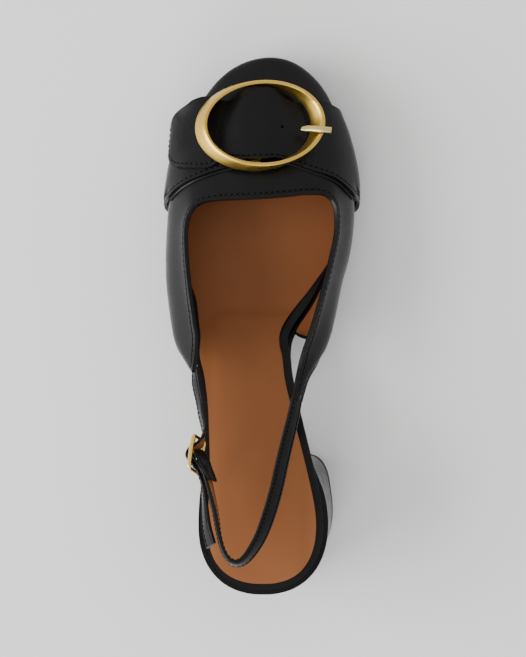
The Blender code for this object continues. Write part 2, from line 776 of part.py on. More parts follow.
def make_toe_buckle(mat):
    """Build the oblique oval ring and join its centre bar."""
    mesh = bmesh.new()
    profile = ((0.0, 0.0), (0.92, 0.0), (1.0, 0.25), (1.0, 0.75), (0.92, 1.0), (0.0, 1.0))
    rings = []
    for i in range(RING_STEPS):
        angle = 2.0 * math.pi * i / RING_STEPS
        ring = []
        for level, share in profile:
            width = RING_BASE + (RING_RIM - RING_BASE) * level
            ring.append(mesh.verts.new(ring_point(angle, level, width * share)))
        rings.append(ring)
    for i in range(RING_STEPS):
        ring = rings[i]
        following = rings[(i + 1) % RING_STEPS]
        for j in range(len(profile)):
            k = (j + 1) % len(profile)
            mesh.faces.new((ring[j], following[j], following[k], ring[k]))
    buckle = finish_mesh("toe_buckle", mesh, mat)
    bar = make_ring_bar(mat)
    union = buckle.modifiers.new("bar", "BOOLEAN")
    union.operation = "UNION"
    union.solver = "EXACT"
    union.object = bar
    return buckle


def make_ring_bar(mat):
    """Build the bar across the middle of the ring, as a guide for the union."""
    mesh = bmesh.new()
    bmesh.ops.create_cube(mesh, size=1.0)
    reach = 2.0 * RING_HALF_WIDTH - RING_BASE
    size = Matrix.Diagonal((RING_BAR_WIDTH, reach, RING_BAR_THICKNESS, 1.0))
    lift = Matrix.Translation((0.0, 0.0, RING_BAR_THICKNESS / 2.0 - RING_BAR_DROP))
    bmesh.ops.transform(mesh, matrix=ring_frame() @ lift @ size, verts=mesh.verts)
    bar = finish_mesh("ring_bar_guide", mesh, mat)
    bar.hide_render = True
    bar.display_type = "WIRE"
    return bar


# The big prong in the ring's frame: shares of RING_HALF_LENGTH, RING_HALF_WIDTH, RING_HEIGHT
PRONG_ROUTE = (
    (0.735, -0.180, 0.55),
    (0.860, -0.205, 0.75),
    (0.985, -0.260, 1.10),
    (1.100, -0.300, 1.28),
    (1.225, -0.313, 1.22),
)


def make_toe_prong(mat):
    """Build the big prong's visible length, from the strap over the ring's inner side."""
    frame = ring_frame()
    across = frame.to_3x3() @ Vector((0.0, 1.0, 0.0))
    stations = []
    for along, side, up in PRONG_ROUTE:
        spot = Vector((along * RING_HALF_LENGTH, side * RING_HALF_WIDTH, up * RING_HEIGHT))
        stations.append(Station(frame @ spot, across, PRONG_THICKNESS))
    return ribbon("toe_buckle_prong", stations, PRONG_WIDTH, 3, mat, chamfer=0.3)


def catmull(points: list, t: float) -> Vector:
    """Return the point at t of a smooth curve through the points, t counted in points."""
    i = min(int(t), len(points) - 2)
    u = t - i
    p1 = points[i]
    p2 = points[i + 1]
    p0 = points[i - 1] if i > 0 else p1 * 2.0 - p2
    p3 = points[i + 2] if i + 2 < len(points) else p2 * 2.0 - p1
    bend = (2.0 * p0 - 5.0 * p1 + 4.0 * p2 - p3) * u * u + (3.0 * p1 - p0 - 3.0 * p2 + p3) * u ** 3
    return 0.5 * (2.0 * p1 + (p2 - p0) * u + bend)


class Station(NamedTuple):
    """A place along a strap: its middle, the way its width runs and its thickness."""
    place: Vector
    across: Vector
    thickness: float


RUN_NUDGE = 0.02


def ribbon(name: str, stations: list, width: float, steps: int, mat, chamfer: float = 0.25):
    """Sweep a flat strap with eased edges through stations."""
    places = [station.place for station in stations]
    acrosses = [station.across for station in stations]
    depths = Curve(range(len(stations)), [station.thickness for station in stations])
    mesh = bmesh.new()
    rings = []
    count = (len(stations) - 1) * steps
    for i in range(count + 1):
        t = i / steps
        middle = catmull(places, t)
        after = catmull(places, min(t + RUN_NUDGE, len(places) - 1))
        run = (after - catmull(places, max(t - RUN_NUDGE, 0.0))).normalized()
        across = catmull(acrosses, t)
        across = (across - run * across.dot(run)).normalized()
        out = run.cross(across)
        half = width / 2.0
        deep = depths(t) / 2.0
        ease = chamfer * 2.0 * deep
        flat = half - ease
        low = ease - deep
        corners = ((half, -low), (flat, deep), (-flat, deep), (-half, -low),
                   (-half, low), (-flat, -deep), (flat, -deep), (half, low))
        rings.append([mesh.verts.new(middle + across * a + out * b) for a, b in corners])
    size = len(rings[0])
    for ring, following in zip(rings, rings[1:]):
        for j in range(size):
            k = (j + 1) % size
            mesh.faces.new((ring[j], following[j], following[k], ring[k]))
    for ring in (rings[0], rings[-1]):
        mesh.faces.new((ring[0], ring[1], ring[2], ring[3]))
        mesh.faces.new((ring[0], ring[3], ring[4], ring[7]))
        mesh.faces.new((ring[4], ring[5], ring[6], ring[7]))
    return finish_mesh(name, mesh, mat, sharp=50.0)


def strap_place(x: float, y: float, up: float) -> Vector:
    """Turn shares of BALL_WIDTH, LENGTH and STRAP_RISE into a point over the seat."""
    return Vector((x * BALL_WIDTH, y * LENGTH, seat_height(y * LENGTH) + up * STRAP_RISE))


# The small frame's centre, the way the strap runs through it and the way its width runs
FRAME_CENTRE = (-0.318, -0.235, 0.488)
FRAME_RUN = Vector((-0.11, -0.93, 0.35)).normalized()
FRAME_ACROSS = Vector((-0.45, 0.28, 0.85))


def small_frame() -> Matrix:
    """Return the small buckle's frame: x along the strap, y across it, z outward."""
    across = (FRAME_ACROSS - FRAME_RUN * FRAME_ACROSS.dot(FRAME_RUN)).normalized()
    out = FRAME_RUN.cross(across)
    turn = Matrix((FRAME_RUN, across, out)).transposed().to_4x4()
    return Matrix.Translation(strap_place(*FRAME_CENTRE)) @ turn


def frame_spot(along: float, out: float) -> Vector:
    """Return a point of the small buckle's middle plane, in metres from its centre."""
    return small_frame() @ Vector((along, 0.0, out))


# Routes past the small buckle: along and out, as shares of half the frame's length
FOLD_ROUTE = ((1.62, -1.05), (1.17, -0.79), (0.78, -0.46), (0.27, 0.05))
FOLD_BACK = ((0.26, -0.50), (0.78, -0.80), (1.17, -1.07), (1.56, -1.30))
TONGUE_ROUTE_FRONT = ((-1.55, -0.33), (-1.02, -0.31), (-0.70, -0.16), (-0.43, 0.15))
TONGUE_ROUTE_REAR = ((0.62, 0.00), (1.00, -0.385), (1.32, -0.58), (1.80, -0.74), (2.35, -0.84))


def frame_reach() -> float:
    """Return half the distance between the middles of the frame's end bars."""
    return FRAME_LENGTH / 2.0


def frame_stations(route: tuple, thickness: float) -> list:
    """Return the stations of a route past the small buckle."""
    across = small_frame().to_3x3() @ Vector((0.0, 1.0, 0.0))
    reach = frame_reach()
    return [Station(frame_spot(a * reach, o * reach), across, thickness) for a, o in route]


def turn_stations(radius: float, first: float, last: float, count: int) -> list:
    """Return stations on an arc round the small buckle's bar, angles in degrees."""
    across = small_frame().to_3x3() @ Vector((0.0, 1.0, 0.0))
    stations = []
    for i in range(count + 1):
        angle = math.radians(first + (last - first) * i / count)
        spot = frame_spot(radius * math.cos(angle), radius * math.sin(angle))
        stations.append(Station(spot, across, STRAP_SKIVED))
    return stations


class StrapRow(NamedTuple):
    """A place on a free strap: shares of BALL_WIDTH, LENGTH, STRAP_RISE, then its width's way."""
    x: float
    y: float
    up: float
    across_x: float
    across_y: float
    across_z: float


HEEL_STRAP_ROWS = (
    StrapRow(0.157, -0.178, 0.400, -0.72, 0.22, 0.62),
    StrapRow(0.112, -0.248, 0.425, -0.78, 0.16, 0.56),
    StrapRow(0.086, -0.293, 0.490, -0.79, 0.20, 0.55),
    StrapRow(0.048, -0.342, 0.580, -0.77, 0.30, 0.55),
    StrapRow(0.002, -0.384, 0.680, -0.62, 0.40, 0.68),
    StrapRow(-0.062, -0.417, 0.765, -0.30, 0.45, 0.84),
    StrapRow(-0.115, -0.424, 0.790, -0.02, 0.32, 0.95),
    StrapRow(-0.161, -0.409, 0.775, 0.05, 0.18, 0.98),
    StrapRow(-0.190, -0.379, 0.735, 0.00, 0.18, 0.98),
    StrapRow(-0.214, -0.335, 0.650, -0.15, 0.24, 0.95),
)
FRONT_STRAP_ROWS = (
    StrapRow(-0.307, -0.118, 0.510, -0.15, 0.38, 0.90),
    StrapRow(-0.296, -0.156, 0.495, -0.30, 0.34, 0.88),
)
TAIL_ROWS = (
    StrapRow(-0.257, -0.357, 0.665, -0.30, 0.26, 0.92),
    StrapRow(-0.231, -0.394, 0.715, -0.20, 0.24, 0.95),
)


def row_stations(rows: tuple) -> list:
    """Return the stations of free-strap rows."""
    return [Station(strap_place(*row[0:3]), Vector(row[3:6]), STRAP_THICKNESS) for row in rows]


def tail_frame(place: float, inward_place: float) -> tuple:
    """Return the middle, the width's way, the run and the inward way of an upper's tail."""
    foot = upper_point(place, 0.0)
    top = upper_point(place, 1.0)
    inner = upper_point(inward_place, 0.5)
    middle = upper_point(place, 0.5)
    across = (top - foot).normalized()
    run = (middle - inner).normalized()
    run = (run - across * run.dot(across)).normalized()
    inward = across.cross(run)
    if inward.x * middle.x > 0.0:
        inward = -inward
    return foot.lerp(top, 0.5), across, run, inward


def make_heel_strap(mat):
    """Build the strap from under the inner tail round the heel to the small buckle's bar."""
    end = len(UPPER_ROWS) - 1
    middle, across, run, inward = tail_frame(end, end - 0.5)
    start = middle + inward * UPPER_WALL / 2.0 + run * 2.0 * CLEARANCE
    stations = [Station(start, across, STRAP_THICKNESS)]
    stations += row_stations(HEEL_STRAP_ROWS)
    stations += frame_stations(FOLD_ROUTE, STRAP_SKIVED)
    radius = FRAME_WIRE / 2.0 + CLEARANCE + STRAP_SKIVED / 2.0
    stations += turn_stations(radius, 50.0, 225.0, 4)
    stations += frame_stations(FOLD_BACK, STRAP_SKIVED)
    return ribbon("heel_strap", stations, STRAP_WIDTH, 3, mat)


def make_buckle_strap(mat):
    """Build the strap from the outer tail through the small buckle to its free end."""
    middle, across, run, inward = tail_frame(0.0, 0.5)
    start = middle + inward * UPPER_WALL / 2.0 + run * 2.0 * CLEARANCE
    stations = [Station(start, across, STRAP_THICKNESS)]
    stations += row_stations(FRONT_STRAP_ROWS)
    stations += frame_stations(TONGUE_ROUTE_FRONT, STRAP_SKIVED)
    radius = FRAME_WIRE / 2.0 + 2.4 * CLEARANCE + 1.5 * STRAP_SKIVED
    stations += turn_stations(radius, 126.0, 54.0, 2)
    stations += frame_stations(TONGUE_ROUTE_REAR, STRAP_SKIVED)
    stations += row_stations(TAIL_ROWS)
    return ribbon("buckle_strap", stations, STRAP_WIDTH, 3, mat)


# The small prong: along and out as shares of half the frame's length
SMALL_PRONG_ROUTE = ((-0.10, 0.62), (-0.50, 0.46), (-0.90, 0.30), (-1.22, 0.22))


def make_small_prong(mat):
    """Build the small prong's visible length, from the strap over the frame's front bar."""
    stations = frame_stations(SMALL_PRONG_ROUTE, SMALL_PRONG_THICKNESS)
    return ribbon("strap_buckle_prong", stations, SMALL_PRONG_WIDTH, 2, mat, chamfer=0.3)


def tube(mesh, path: list, radius: float, closed: bool, sides: int = 8) -> None:
    """Add a round wire along a path to a bmesh."""
    rings = []
    count = len(path)
    for i, here in enumerate(path):
        before = path[i - 1] if closed or i > 0 else here
        after = path[(i + 1) % count] if closed or i < count - 1 else here
        run = (after - before).normalized()
        side = run.cross(Vector((0.0, 0.0, 1.0))).normalized()
        up = side.cross(run)
        ring = []
        for j in range(sides):
            angle = 2.0 * math.pi * (j + 0.5) / sides
            ring.append(mesh.verts.new(here + (side * math.cos(angle) + up * math.sin(angle)) * radius))
        rings.append(ring)
    for i in range(count if closed else count - 1):
        ring = rings[i]
        following = rings[(i + 1) % count]
        for j in range(sides):
            k = (j + 1) % sides
            mesh.faces.new((ring[j], following[j], following[k], ring[k]))
    if not closed:
        mesh.faces.new(rings[0])
        mesh.faces.new(rings[-1])


def make_strap_buckle(mat):
    """Build the small frame with rounded corners and join its centre bar."""
    half_x = frame_reach()
    half_y = STRAP_WIDTH / 2.0 + FRAME_MARGIN + FRAME_WIRE / 2.0
    path = []
    for corner in range(4):
        sign_x = 1.0 if corner in (0, 3) else -1.0
        sign_y = 1.0 if corner in (0, 1) else -1.0
        for i in range(4):
            angle = math.radians(90.0 * corner + 30.0 * i)
            x = sign_x * (half_x - FRAME_CORNER) + FRAME_CORNER * math.cos(angle)
            y = sign_y * (half_y - FRAME_CORNER) + FRAME_CORNER * math.sin(angle)
            path.append(Vector((x, y, -FRAME_SAG * (x / half_x) ** 2)))
        if corner in (0, 2):
            for i in (1, 2, 3):
                x = sign_x * (half_x - FRAME_CORNER) * (1.0 - i / 2.0)
                path.append(Vector((x, sign_y * half_y, -FRAME_SAG * (x / half_x) ** 2)))
    mesh = bmesh.new()
    tube(mesh, path, FRAME_WIRE / 2.0, True)
    bmesh.ops.transform(mesh, matrix=small_frame(), verts=mesh.verts)
    buckle = finish_mesh("strap_buckle", mesh, mat)
    bar_mesh = bmesh.new()
    tube(bar_mesh, [Vector((0.0, -half_y, 0.0)), Vector((0.0, half_y, 0.0))], FRAME_WIRE / 2.0, False)
    bmesh.ops.transform(bar_mesh, matrix=small_frame(), verts=bar_mesh.verts)
    bar = finish_mesh("frame_bar_guide", bar_mesh, mat)
    bar.hide_render = True
    bar.display_type = "WIRE"
    union = buckle.modifiers.new("bar", "BOOLEAN")
    union.operation = "UNION"
    union.solver = "EXACT"
    union.object = bar
    return buckle


def centre_on_origin(objects: list) -> None:
    """Place everything so that the middle of the objects' box stands over the origin."""
    bpy.context.view_layer.update()
    graph = bpy.context.evaluated_depsgraph_get()
    corners = []
    for obj in objects:
        shape = obj.evaluated_get(graph)
        corners.extend(shape.matrix_world @ Vector(corner) for corner in shape.bound_box)
    low = Vector([min(c[i] for c in corners) for i in range(3)])
    high = Vector([max(c[i] for c in corners) for i in range(3)])
    shift = Vector((-(low.x + high.x) / 2.0, -(low.y + high.y) / 2.0, -low.z))
    for obj in bpy.data.objects:
        obj.location = shift


def main() -> None:
    """Build the shoe."""
    clear_scene()
    black = material("black_leather", (0.012, 0.012, 0.014), 0.42)
    tan = material("tan_leather", (0.30, 0.115, 0.04), 0.6)
    rubber = material("black_rubber", (0.015, 0.015, 0.015), 0.7)
    objects = [
        make_outsole(black),
        make_heel_block(black),
        make_heel_tip(rubber),
        make_footbed(black),
        make_sock(tan),
        make_upper(black),
    ]
    vamp = Vamp()
    gold = material("satin_gold", (0.62, 0.46, 0.17), 0.32, 1.0)
    objects += [
        make_toe_strap("toe_strap_over", OVER_ROWS, vamp, black),
        make_toe_strap("toe_strap_under", UNDER_ROWS, vamp, black),
        make_toe_buckle(gold),
        make_heel_strap(black),
        make_buckle_strap(black),
        make_strap_buckle(gold),
        make_toe_prong(gold),
        make_small_prong(gold),
    ]
    centre_on_origin(objects)


main()
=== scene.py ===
"""Dressed model of a left slingback pump: black leather, tan lining, satin gold buckles.

Frame: +Y to the toe, +X to the inner side of the foot, +Z up, metres.
"""
import logging
import math
from dataclasses import dataclass, field
from enum import Enum

import bmesh
import bpy
import numpy as np
from mathutils import Matrix, Vector
from mathutils.bvhtree import BVHTree


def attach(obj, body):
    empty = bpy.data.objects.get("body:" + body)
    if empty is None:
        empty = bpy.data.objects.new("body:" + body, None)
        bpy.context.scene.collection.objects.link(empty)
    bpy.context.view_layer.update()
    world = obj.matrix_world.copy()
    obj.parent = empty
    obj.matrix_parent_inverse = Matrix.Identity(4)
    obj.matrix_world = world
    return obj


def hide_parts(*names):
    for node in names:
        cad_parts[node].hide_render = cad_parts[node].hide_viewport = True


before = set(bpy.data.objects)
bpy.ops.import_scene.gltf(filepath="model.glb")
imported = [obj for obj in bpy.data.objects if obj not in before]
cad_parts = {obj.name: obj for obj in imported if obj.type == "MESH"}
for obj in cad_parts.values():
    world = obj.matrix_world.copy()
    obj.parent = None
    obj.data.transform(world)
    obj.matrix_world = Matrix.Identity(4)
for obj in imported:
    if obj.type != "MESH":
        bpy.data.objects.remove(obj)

MM = 0.001
Socket = bpy.types.NodeSocket
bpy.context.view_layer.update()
log = logging.getLogger("pump")


def only(obj: bpy.types.Object) -> None:
    """Select one object and make it the active one."""
    bpy.ops.object.select_all(action="DESELECT")
    obj.select_set(True)
    bpy.context.view_layer.objects.active = obj


def finished(obj: bpy.types.Object, finish: "Finish", stands_for: tuple = ()) -> bpy.types.Object:
    """Dress a piece, let it ride and report it.

    Args:
        obj: the piece, with its place in its mesh.
        finish: the finish of its whole surface.
        stands_for: names of the model's nodes that it replaces.

    Returns:
        The same piece.
    """
    obj.data.materials.clear()
    obj.data.materials.append(finish.material())
    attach(obj, "root")
    if stands_for:
        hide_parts(*stands_for)
    log.info("%s: %d faces", obj.name, len(obj.data.polygons))
    return obj


class Slot(Enum):
    """The record's material slots."""

    BLACK = "black_leather"
    TAN = "tan_leather"
    RUBBER = "black_rubber"
    GOLD = "satin_gold"


class Graph:
    """A material under construction."""

    def __init__(self, name: str) -> None:
        """Start a Principled material."""
        self.mat = bpy.data.materials.new(name)
        self.mat.use_nodes = True
        self.shader = self.mat.node_tree.nodes["Principled BSDF"]
        self.coords = self.add("ShaderNodeTexCoord", {}).outputs["Object"]

    def add(self, kind: str, inputs: dict, **settings) -> bpy.types.Node:
        """Add a node.

        Args:
            kind: the node's type name.
            inputs: socket name or index to a value or an output to link.
            settings: the node's own properties.

        Returns:
            The new node.
        """
        node = self.mat.node_tree.nodes.new(kind)
        for key, value in settings.items():
            setattr(node, key, value)
        for key, value in inputs.items():
            self.feed(node.inputs[key], value)
        return node

    def feed(self, socket: Socket, value: "Socket | float | tuple") -> None:
        """Set a socket's value, or link an output to it."""
        if isinstance(value, Socket):
            self.mat.node_tree.links.new(value, socket)
        else:
            socket.default_value = value

    def noise(self, scale: float, detail: float) -> Socket:
        """Return the value of a noise with the given cells to the metre."""
        sockets = {"Vector": self.coords, "Scale": scale, "Detail": detail}
        return self.add("ShaderNodeTexNoise", sockets).outputs[0]

    def spread(self, value: Socket, low: float = 0.0, high: float = 1.0) -> Socket:
        """Return a noise's usual values, around a half, remapped to low..high."""
        sockets = {"Value": value, "From Min": 0.35, "From Max": 0.65, "To Min": low, "To Max": high}
        return self.add("ShaderNodeMapRange", sockets).outputs[0]

    def mix(self, share: Socket, first: tuple, second: tuple) -> Socket:
        """Return a colour between two colours."""
        node = self.add("ShaderNodeMix", {}, data_type="RGBA")
        self.feed(node.inputs[0], share)
        for socket, colour in ((node.inputs[6], first), (node.inputs[7], second)):
            self.feed(socket, (*colour, 1.0))
        return node.outputs[2]

    def bump(self, height: Socket, depth: float, strength: float, before: Socket | None = None) -> Socket:
        """Return a normal bumped by a height of the given depth in metres."""
        inputs = {"Height": height, "Distance": depth, "Strength": strength}
        if before is not None:
            inputs["Normal"] = before
        return self.add("ShaderNodeBump", inputs).outputs[0]


@dataclass(frozen=True)
class Finish:
    """What every finish has.

    Attributes:
        name: the material's name.
        slot: the record's slot for it; not used.
        colour: its colour.
        shade: the darker colour that it varies to.
        roughness: its least and greatest roughness.
    """

    name: str
    slot: Slot
    colour: tuple
    shade: tuple
    roughness: tuple

    def material(self) -> bpy.types.Material:
        """Return the finish's material, made on first use."""
        made = bpy.data.materials.get(self.name)
        return made if made is not None else self.build()

    def build(self) -> bpy.types.Material:
        """Build the material."""
        raise NotImplementedError


@dataclass(frozen=True)
class Leather(Finish):
    """Smooth leather with pores, faint creases and uneven gloss.

    Attributes:
        grain: cells of its grain to the metre.
        grain_depth: how deep the grain is.
        crease_depth: how deep the creases are.
        gloss: the strength of its reflections.
        creases: creases to the metre.
        patches: patches of uneven gloss to the metre.
    """

    grain: float = 1500.0
    grain_depth: float = 0.05 * MM
    crease_depth: float = 0.25 * MM
    gloss: float = 0.17
    creases: float = 38.0
    patches: float = 140.0

    def build(self) -> bpy.types.Material:
        """Build the leather."""
        graph = Graph(self.name)
        shader = graph.shader.inputs
        broad = graph.noise(self.creases, 2.0)
        cells = graph.add("ShaderNodeTexVoronoi", {"Vector": graph.coords, "Scale": self.grain},
                          feature="SMOOTH_F1").outputs["Distance"]
        pores = graph.noise(2.1 * self.grain, 1.0)
        graph.feed(shader["Base Color"], graph.mix(graph.spread(broad), self.colour, self.shade))
        graph.feed(shader["Roughness"], graph.spread(graph.noise(self.patches, 4.0), *self.roughness))
        normal = graph.bump(broad, self.crease_depth, 0.35)
        normal = graph.bump(cells, self.grain_depth, 0.5, normal)
        normal = graph.bump(pores, 0.4 * self.grain_depth, 0.4, normal)
        graph.feed(shader["Normal"], normal)
        shader["Specular IOR Level"].default_value = self.gloss
        return graph.mat


@dataclass(frozen=True)
class Metal(Finish):
    """Satin metal with fine brushing.

    Attributes:
        brushing: marks of the brush to the metre.
        patches: patches of uneven gloss to the metre.
    """

    brushing: float = 900.0
    patches: float = 260.0

    def build(self) -> bpy.types.Material:
        """Build the metal."""
        graph = Graph(self.name)
        shader = graph.shader.inputs
        lines = graph.noise(self.brushing, 2.0)
        graph.feed(shader["Base Color"], graph.mix(graph.spread(lines), self.colour, self.shade))
        graph.feed(shader["Roughness"], graph.spread(graph.noise(self.patches, 3.0), *self.roughness))
        graph.feed(shader["Normal"], graph.bump(lines, 0.002 * MM, 0.05))
        shader["Metallic"].default_value = 1.0
        return graph.mat


@dataclass(frozen=True)
class Thread(Finish):
    """Twisted sewing thread.

    Attributes:
        twists: twists to the metre.
        gloss: the strength of its reflections.
    """

    twists: float = 5200.0
    gloss: float = 0.2

    def build(self) -> bpy.types.Material:
        """Build the thread."""
        graph = Graph(self.name)
        shader = graph.shader.inputs
        twist = graph.noise(self.twists, 1.0)
        graph.feed(shader["Base Color"], graph.mix(twist, self.colour, self.shade))
        shader["Roughness"].default_value = self.roughness[0]
        shader["Specular IOR Level"].default_value = self.gloss
        graph.feed(shader["Normal"], graph.bump(twist, 0.05 * MM, 0.5))
        return graph.mat


BLACK = Leather("black_calf", Slot.BLACK, (0.0062, 0.0060, 0.0064), (0.0042, 0.0041, 0.0043),
                (0.25, 0.32), crease_depth=0.15 * MM)
HEEL_BLACK = Leather("heel_calf", Slot.BLACK, (0.0066, 0.0064, 0.0066), (0.0045, 0.0044, 0.0046),
                     (0.20, 0.28), crease_depth=0.5 * MM, gloss=0.10)
RAND_BLACK = Leather("rand_calf", Slot.BLACK, (0.0066, 0.0062, 0.0062), (0.0045, 0.0042, 0.0042),
                     (0.26, 0.34))
# Painted shade: a matte black darker than the leather, laid under the stitch rows and in the spare hole to
# stand for the shade in them.
PAINTED_SHADE_BLACK = Leather("painted_shade_black", Slot.BLACK, (0.0018, 0.0018, 0.0018), (0.0012, 0.0012, 0.0012),
                       (0.80, 0.90), gloss=0.05)
TAN = Leather("tan_sock", Slot.TAN, (0.235, 0.082, 0.026), (0.222, 0.077, 0.024), (0.50, 0.62),
              grain=1900.0, grain_depth=0.03 * MM, crease_depth=0.03 * MM, gloss=0.22)
TAN_LINING = Leather("tan_lining", Slot.TAN, (0.235, 0.081, 0.026), (0.220, 0.075, 0.024), (0.50, 0.62),
                     grain=1900.0, grain_depth=0.03 * MM, crease_depth=0.03 * MM, gloss=0.22)
GOLD = Metal("satin_gold_plate", Slot.GOLD, (0.67, 0.44, 0.085), (0.65, 0.42, 0.08), (0.30, 0.34))
PALE_GOLD = Metal("pale_gold_plate", Slot.GOLD, (0.62, 0.53, 0.22), (0.60, 0.51, 0.21), (0.34, 0.38))
SMALL_GOLD = Metal("bright_gold_plate", Slot.GOLD, (0.85, 0.60, 0.16), (0.80, 0.55, 0.14), (0.20, 0.26))
BLACK_THREAD = Thread("black_thread", Slot.BLACK, (0.008, 0.008, 0.008), (0.005, 0.005, 0.005), (0.6, 0.6))
BROWN_THREAD = Thread("brown_thread", Slot.TAN, (0.060, 0.022, 0.009), (0.035, 0.012, 0.005), (0.6, 0.6))
RUBBER = Leather("heel_rubber", Slot.RUBBER, (0.012, 0.012, 0.012), (0.008, 0.008, 0.008), (0.55, 0.7),
                 grain=2400.0)


def carried(node: str, name: str) -> bpy.types.Object:
    """Return a copy of a node's mesh as a new piece, with its triangles merged to quads."""
    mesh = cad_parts[node].data.copy()
    obj = bpy.data.objects.new(name, mesh)
    bpy.context.scene.collection.objects.link(obj)
    only(obj)
    bpy.ops.object.mode_set(mode="EDIT")
    bpy.ops.mesh.select_all(action="SELECT")
    bpy.ops.mesh.remove_doubles(threshold=0.004 * MM)
    bend = math.radians(50.0)
    skew = math.radians(60.0)
    bpy.ops.mesh.tris_convert_to_quads(face_threshold=bend, shape_threshold=skew)
    bpy.ops.object.mode_set(mode="OBJECT")
    return obj


def linked(name: str, mesh: bmesh.types.BMesh) -> bpy.types.Object:
    """Return a finished mesh as a new piece in the scene."""
    data = bpy.data.meshes.new(name)
    mesh.to_mesh(data)
    mesh.free()
    obj = bpy.data.objects.new(name, data)
    bpy.context.scene.collection.objects.link(obj)
    return obj


def soften(obj: bpy.types.Object, width: float, levels: int = 2, angle: float = 50.0) -> None:
    """Round a piece's edges and subdivide it smooth, through the points it had before.

    Args:
        obj: the piece.
        width: how far each edge is rounded, in metres.
        levels: how often it is subdivided.
        angle: the least turn in degrees that counts as an edge.
    """
    only(obj)
    bevel = obj.modifiers.new("edges", "BEVEL")
    bevel.width = width
    bevel.segments = 2
    bevel.limit_method = "ANGLE"
    bevel.angle_limit = math.radians(angle)
    bpy.ops.object.modifier_apply(modifier=bevel.name)
    smooth = obj.modifiers.new("smooth", "SUBSURF")
    smooth.levels = levels
    smooth.render_levels = levels
    points = [v.co.copy() for v in obj.data.vertices]
    longest = 0.6 * MM
    passes = 2
    for _ in range(passes):
        bpy.context.view_layer.update()
        rounded = obj.evaluated_get(bpy.context.evaluated_depsgraph_get()).data
        for vert, goal, place in zip(obj.data.vertices, points, rounded.vertices):
            lost = goal - place.co
            if lost.length < longest:
                vert.co += lost
        obj.data.update()
    bpy.ops.object.modifier_apply(modifier=smooth.name)
    bpy.ops.object.shade_smooth()


@dataclass
class Rim:
    """The free edge of a sheet: ordered points and the way into the sheet at each."""

    points: list
    inward: list

    def offset(self, distance: float) -> list:
        """Return the points moved into the sheet by a distance."""
        return [p + way * distance for p, way in zip(self.points, self.inward)]


class Skin:
    """One smooth side of a piece of leather, bounded by its sharp edges."""

    def __init__(self, obj: bpy.types.Object, rank: int = 0, angle: float = 50.0) -> None:
        """Find the side that has the given rank by area.

        Args:
            obj: a merged piece.
            rank: 0 for the largest side.
            angle: the least turn in degrees of a sharp edge.
        """
        self.mesh = bmesh.new()
        self.mesh.from_mesh(obj.data)
        self.limit = math.radians(angle)
        sides = sorted(self.sides(), key=lambda side: -sum(f.calc_area() for f in side))
        self.faces = set(sides[rank])

    def sides(self) -> list:
        """Return the groups of faces that smooth edges join."""
        left = set(self.mesh.faces)
        groups = []
        while left:
            stack = [left.pop()]
            group = []
            while stack:
                face = stack.pop()
                group.append(face)
                for edge in face.edges:
                    if len(edge.link_faces) == 2 and edge.calc_face_angle(math.pi) < self.limit:
                        for other in edge.link_faces:
                            if other in left:
                                left.discard(other)
                                stack.append(other)
            groups.append(group)
        return groups

    def rim(self) -> Rim:
        """Return the side's outer boundary as one closed loop."""
        edges = {e for f in self.faces for e in f.edges if sum(g in self.faces for g in e.link_faces) == 1}
        start = min(edges, key=lambda e: (e.verts[0].co.y, e.index))
        loop = [start.verts[0], start.verts[1]]
        edges.discard(start)
        while True:
            step = next((e for e in loop[-1].link_edges if e in edges), None)
            if step is None:
                break
            edges.discard(step)
            loop.append(step.other_vert(loop[-1]))
        if loop[0] == loop[-1]:
            loop.pop()
        inward = []
        for i, vert in enumerate(loop):
            run = (loop[(i + 1) % len(loop)].co - loop[i - 1].co).normalized()
            into = Vector()
            for face in vert.link_faces:
                if face in self.faces:
                    into += face.calc_center_median() - vert.co
            inward.append((into - run * into.dot(run)).normalized())
        return Rim([v.co.copy() for v in loop], inward)


class Cloak:
    """The finished surface of a piece, asked for the nearest places on it."""

    def __init__(self, obj: bpy.types.Object) -> None:
        """Read the piece's mesh."""
        points = [v.co for v in obj.data.vertices]
        self.tree = BVHTree.FromPolygons(points, [tuple(p.vertices) for p in obj.data.polygons])

    def place(self, point: Vector) -> tuple:
        """Return the nearest point on the surface and its normal."""
        spot, normal, _, _ = self.tree.find_nearest(point)
        return spot, normal


def ramp(value: float, start: float, end: float) -> float:
    """Return how far a value has come from start to end, held between 0 and 1."""
    return min(max((value - start) / (end - start), 0.0), 1.0)


@dataclass(frozen=True)
class Pull:
    """A soft pull on the leather round a place seen from above.

    Attributes:
        place: the place where it is strongest, across and along.
        reach: how far round the place it is felt.
        shift: how far it moves the leather at the place, across and along.
        ceiling: the height from which nothing moves.
        fade: how far under the ceiling the pull grows to its full strength.
    """

    place: tuple
    reach: float
    shift: tuple
    ceiling: float = 1.0
    fade: float = 18.0 * MM

    def share(self, point: Vector) -> float:
        """Return how far a point follows the pull, from 1 at the place to 0 at its reach."""
        away = math.hypot(point.x - self.place[0], point.y - self.place[1]) / self.reach
        below = ramp(point.z, self.ceiling, self.ceiling - self.fade)
        return 0.0 if away >= 1.0 else below * (1.0 - away * away) ** 2

    def apply(self, obj: bpy.types.Object) -> None:
        """Pull a piece's points."""
        for vert in obj.data.vertices:
            vert.co += Vector((*self.shift, 0.0)) * self.share(vert.co)


def resampled(points: list, pitch: float) -> list:
    """Return points at equal steps along a broken line."""
    lengths = [0.0]
    for before, after in zip(points, points[1:]):
        lengths.append(lengths[-1] + (after - before).length)
    count = max(int(lengths[-1] / pitch), 1)
    spots = []
    j = 1
    for i in range(count + 1):
        goal = lengths[-1] * i / count
        while j < len(points) - 1 and lengths[j] < goal:
            j += 1
        share = (goal - lengths[j - 1]) / max(lengths[j] - lengths[j - 1], 1e-9)
        spots.append(points[j - 1].lerp(points[j], share))
    return spots


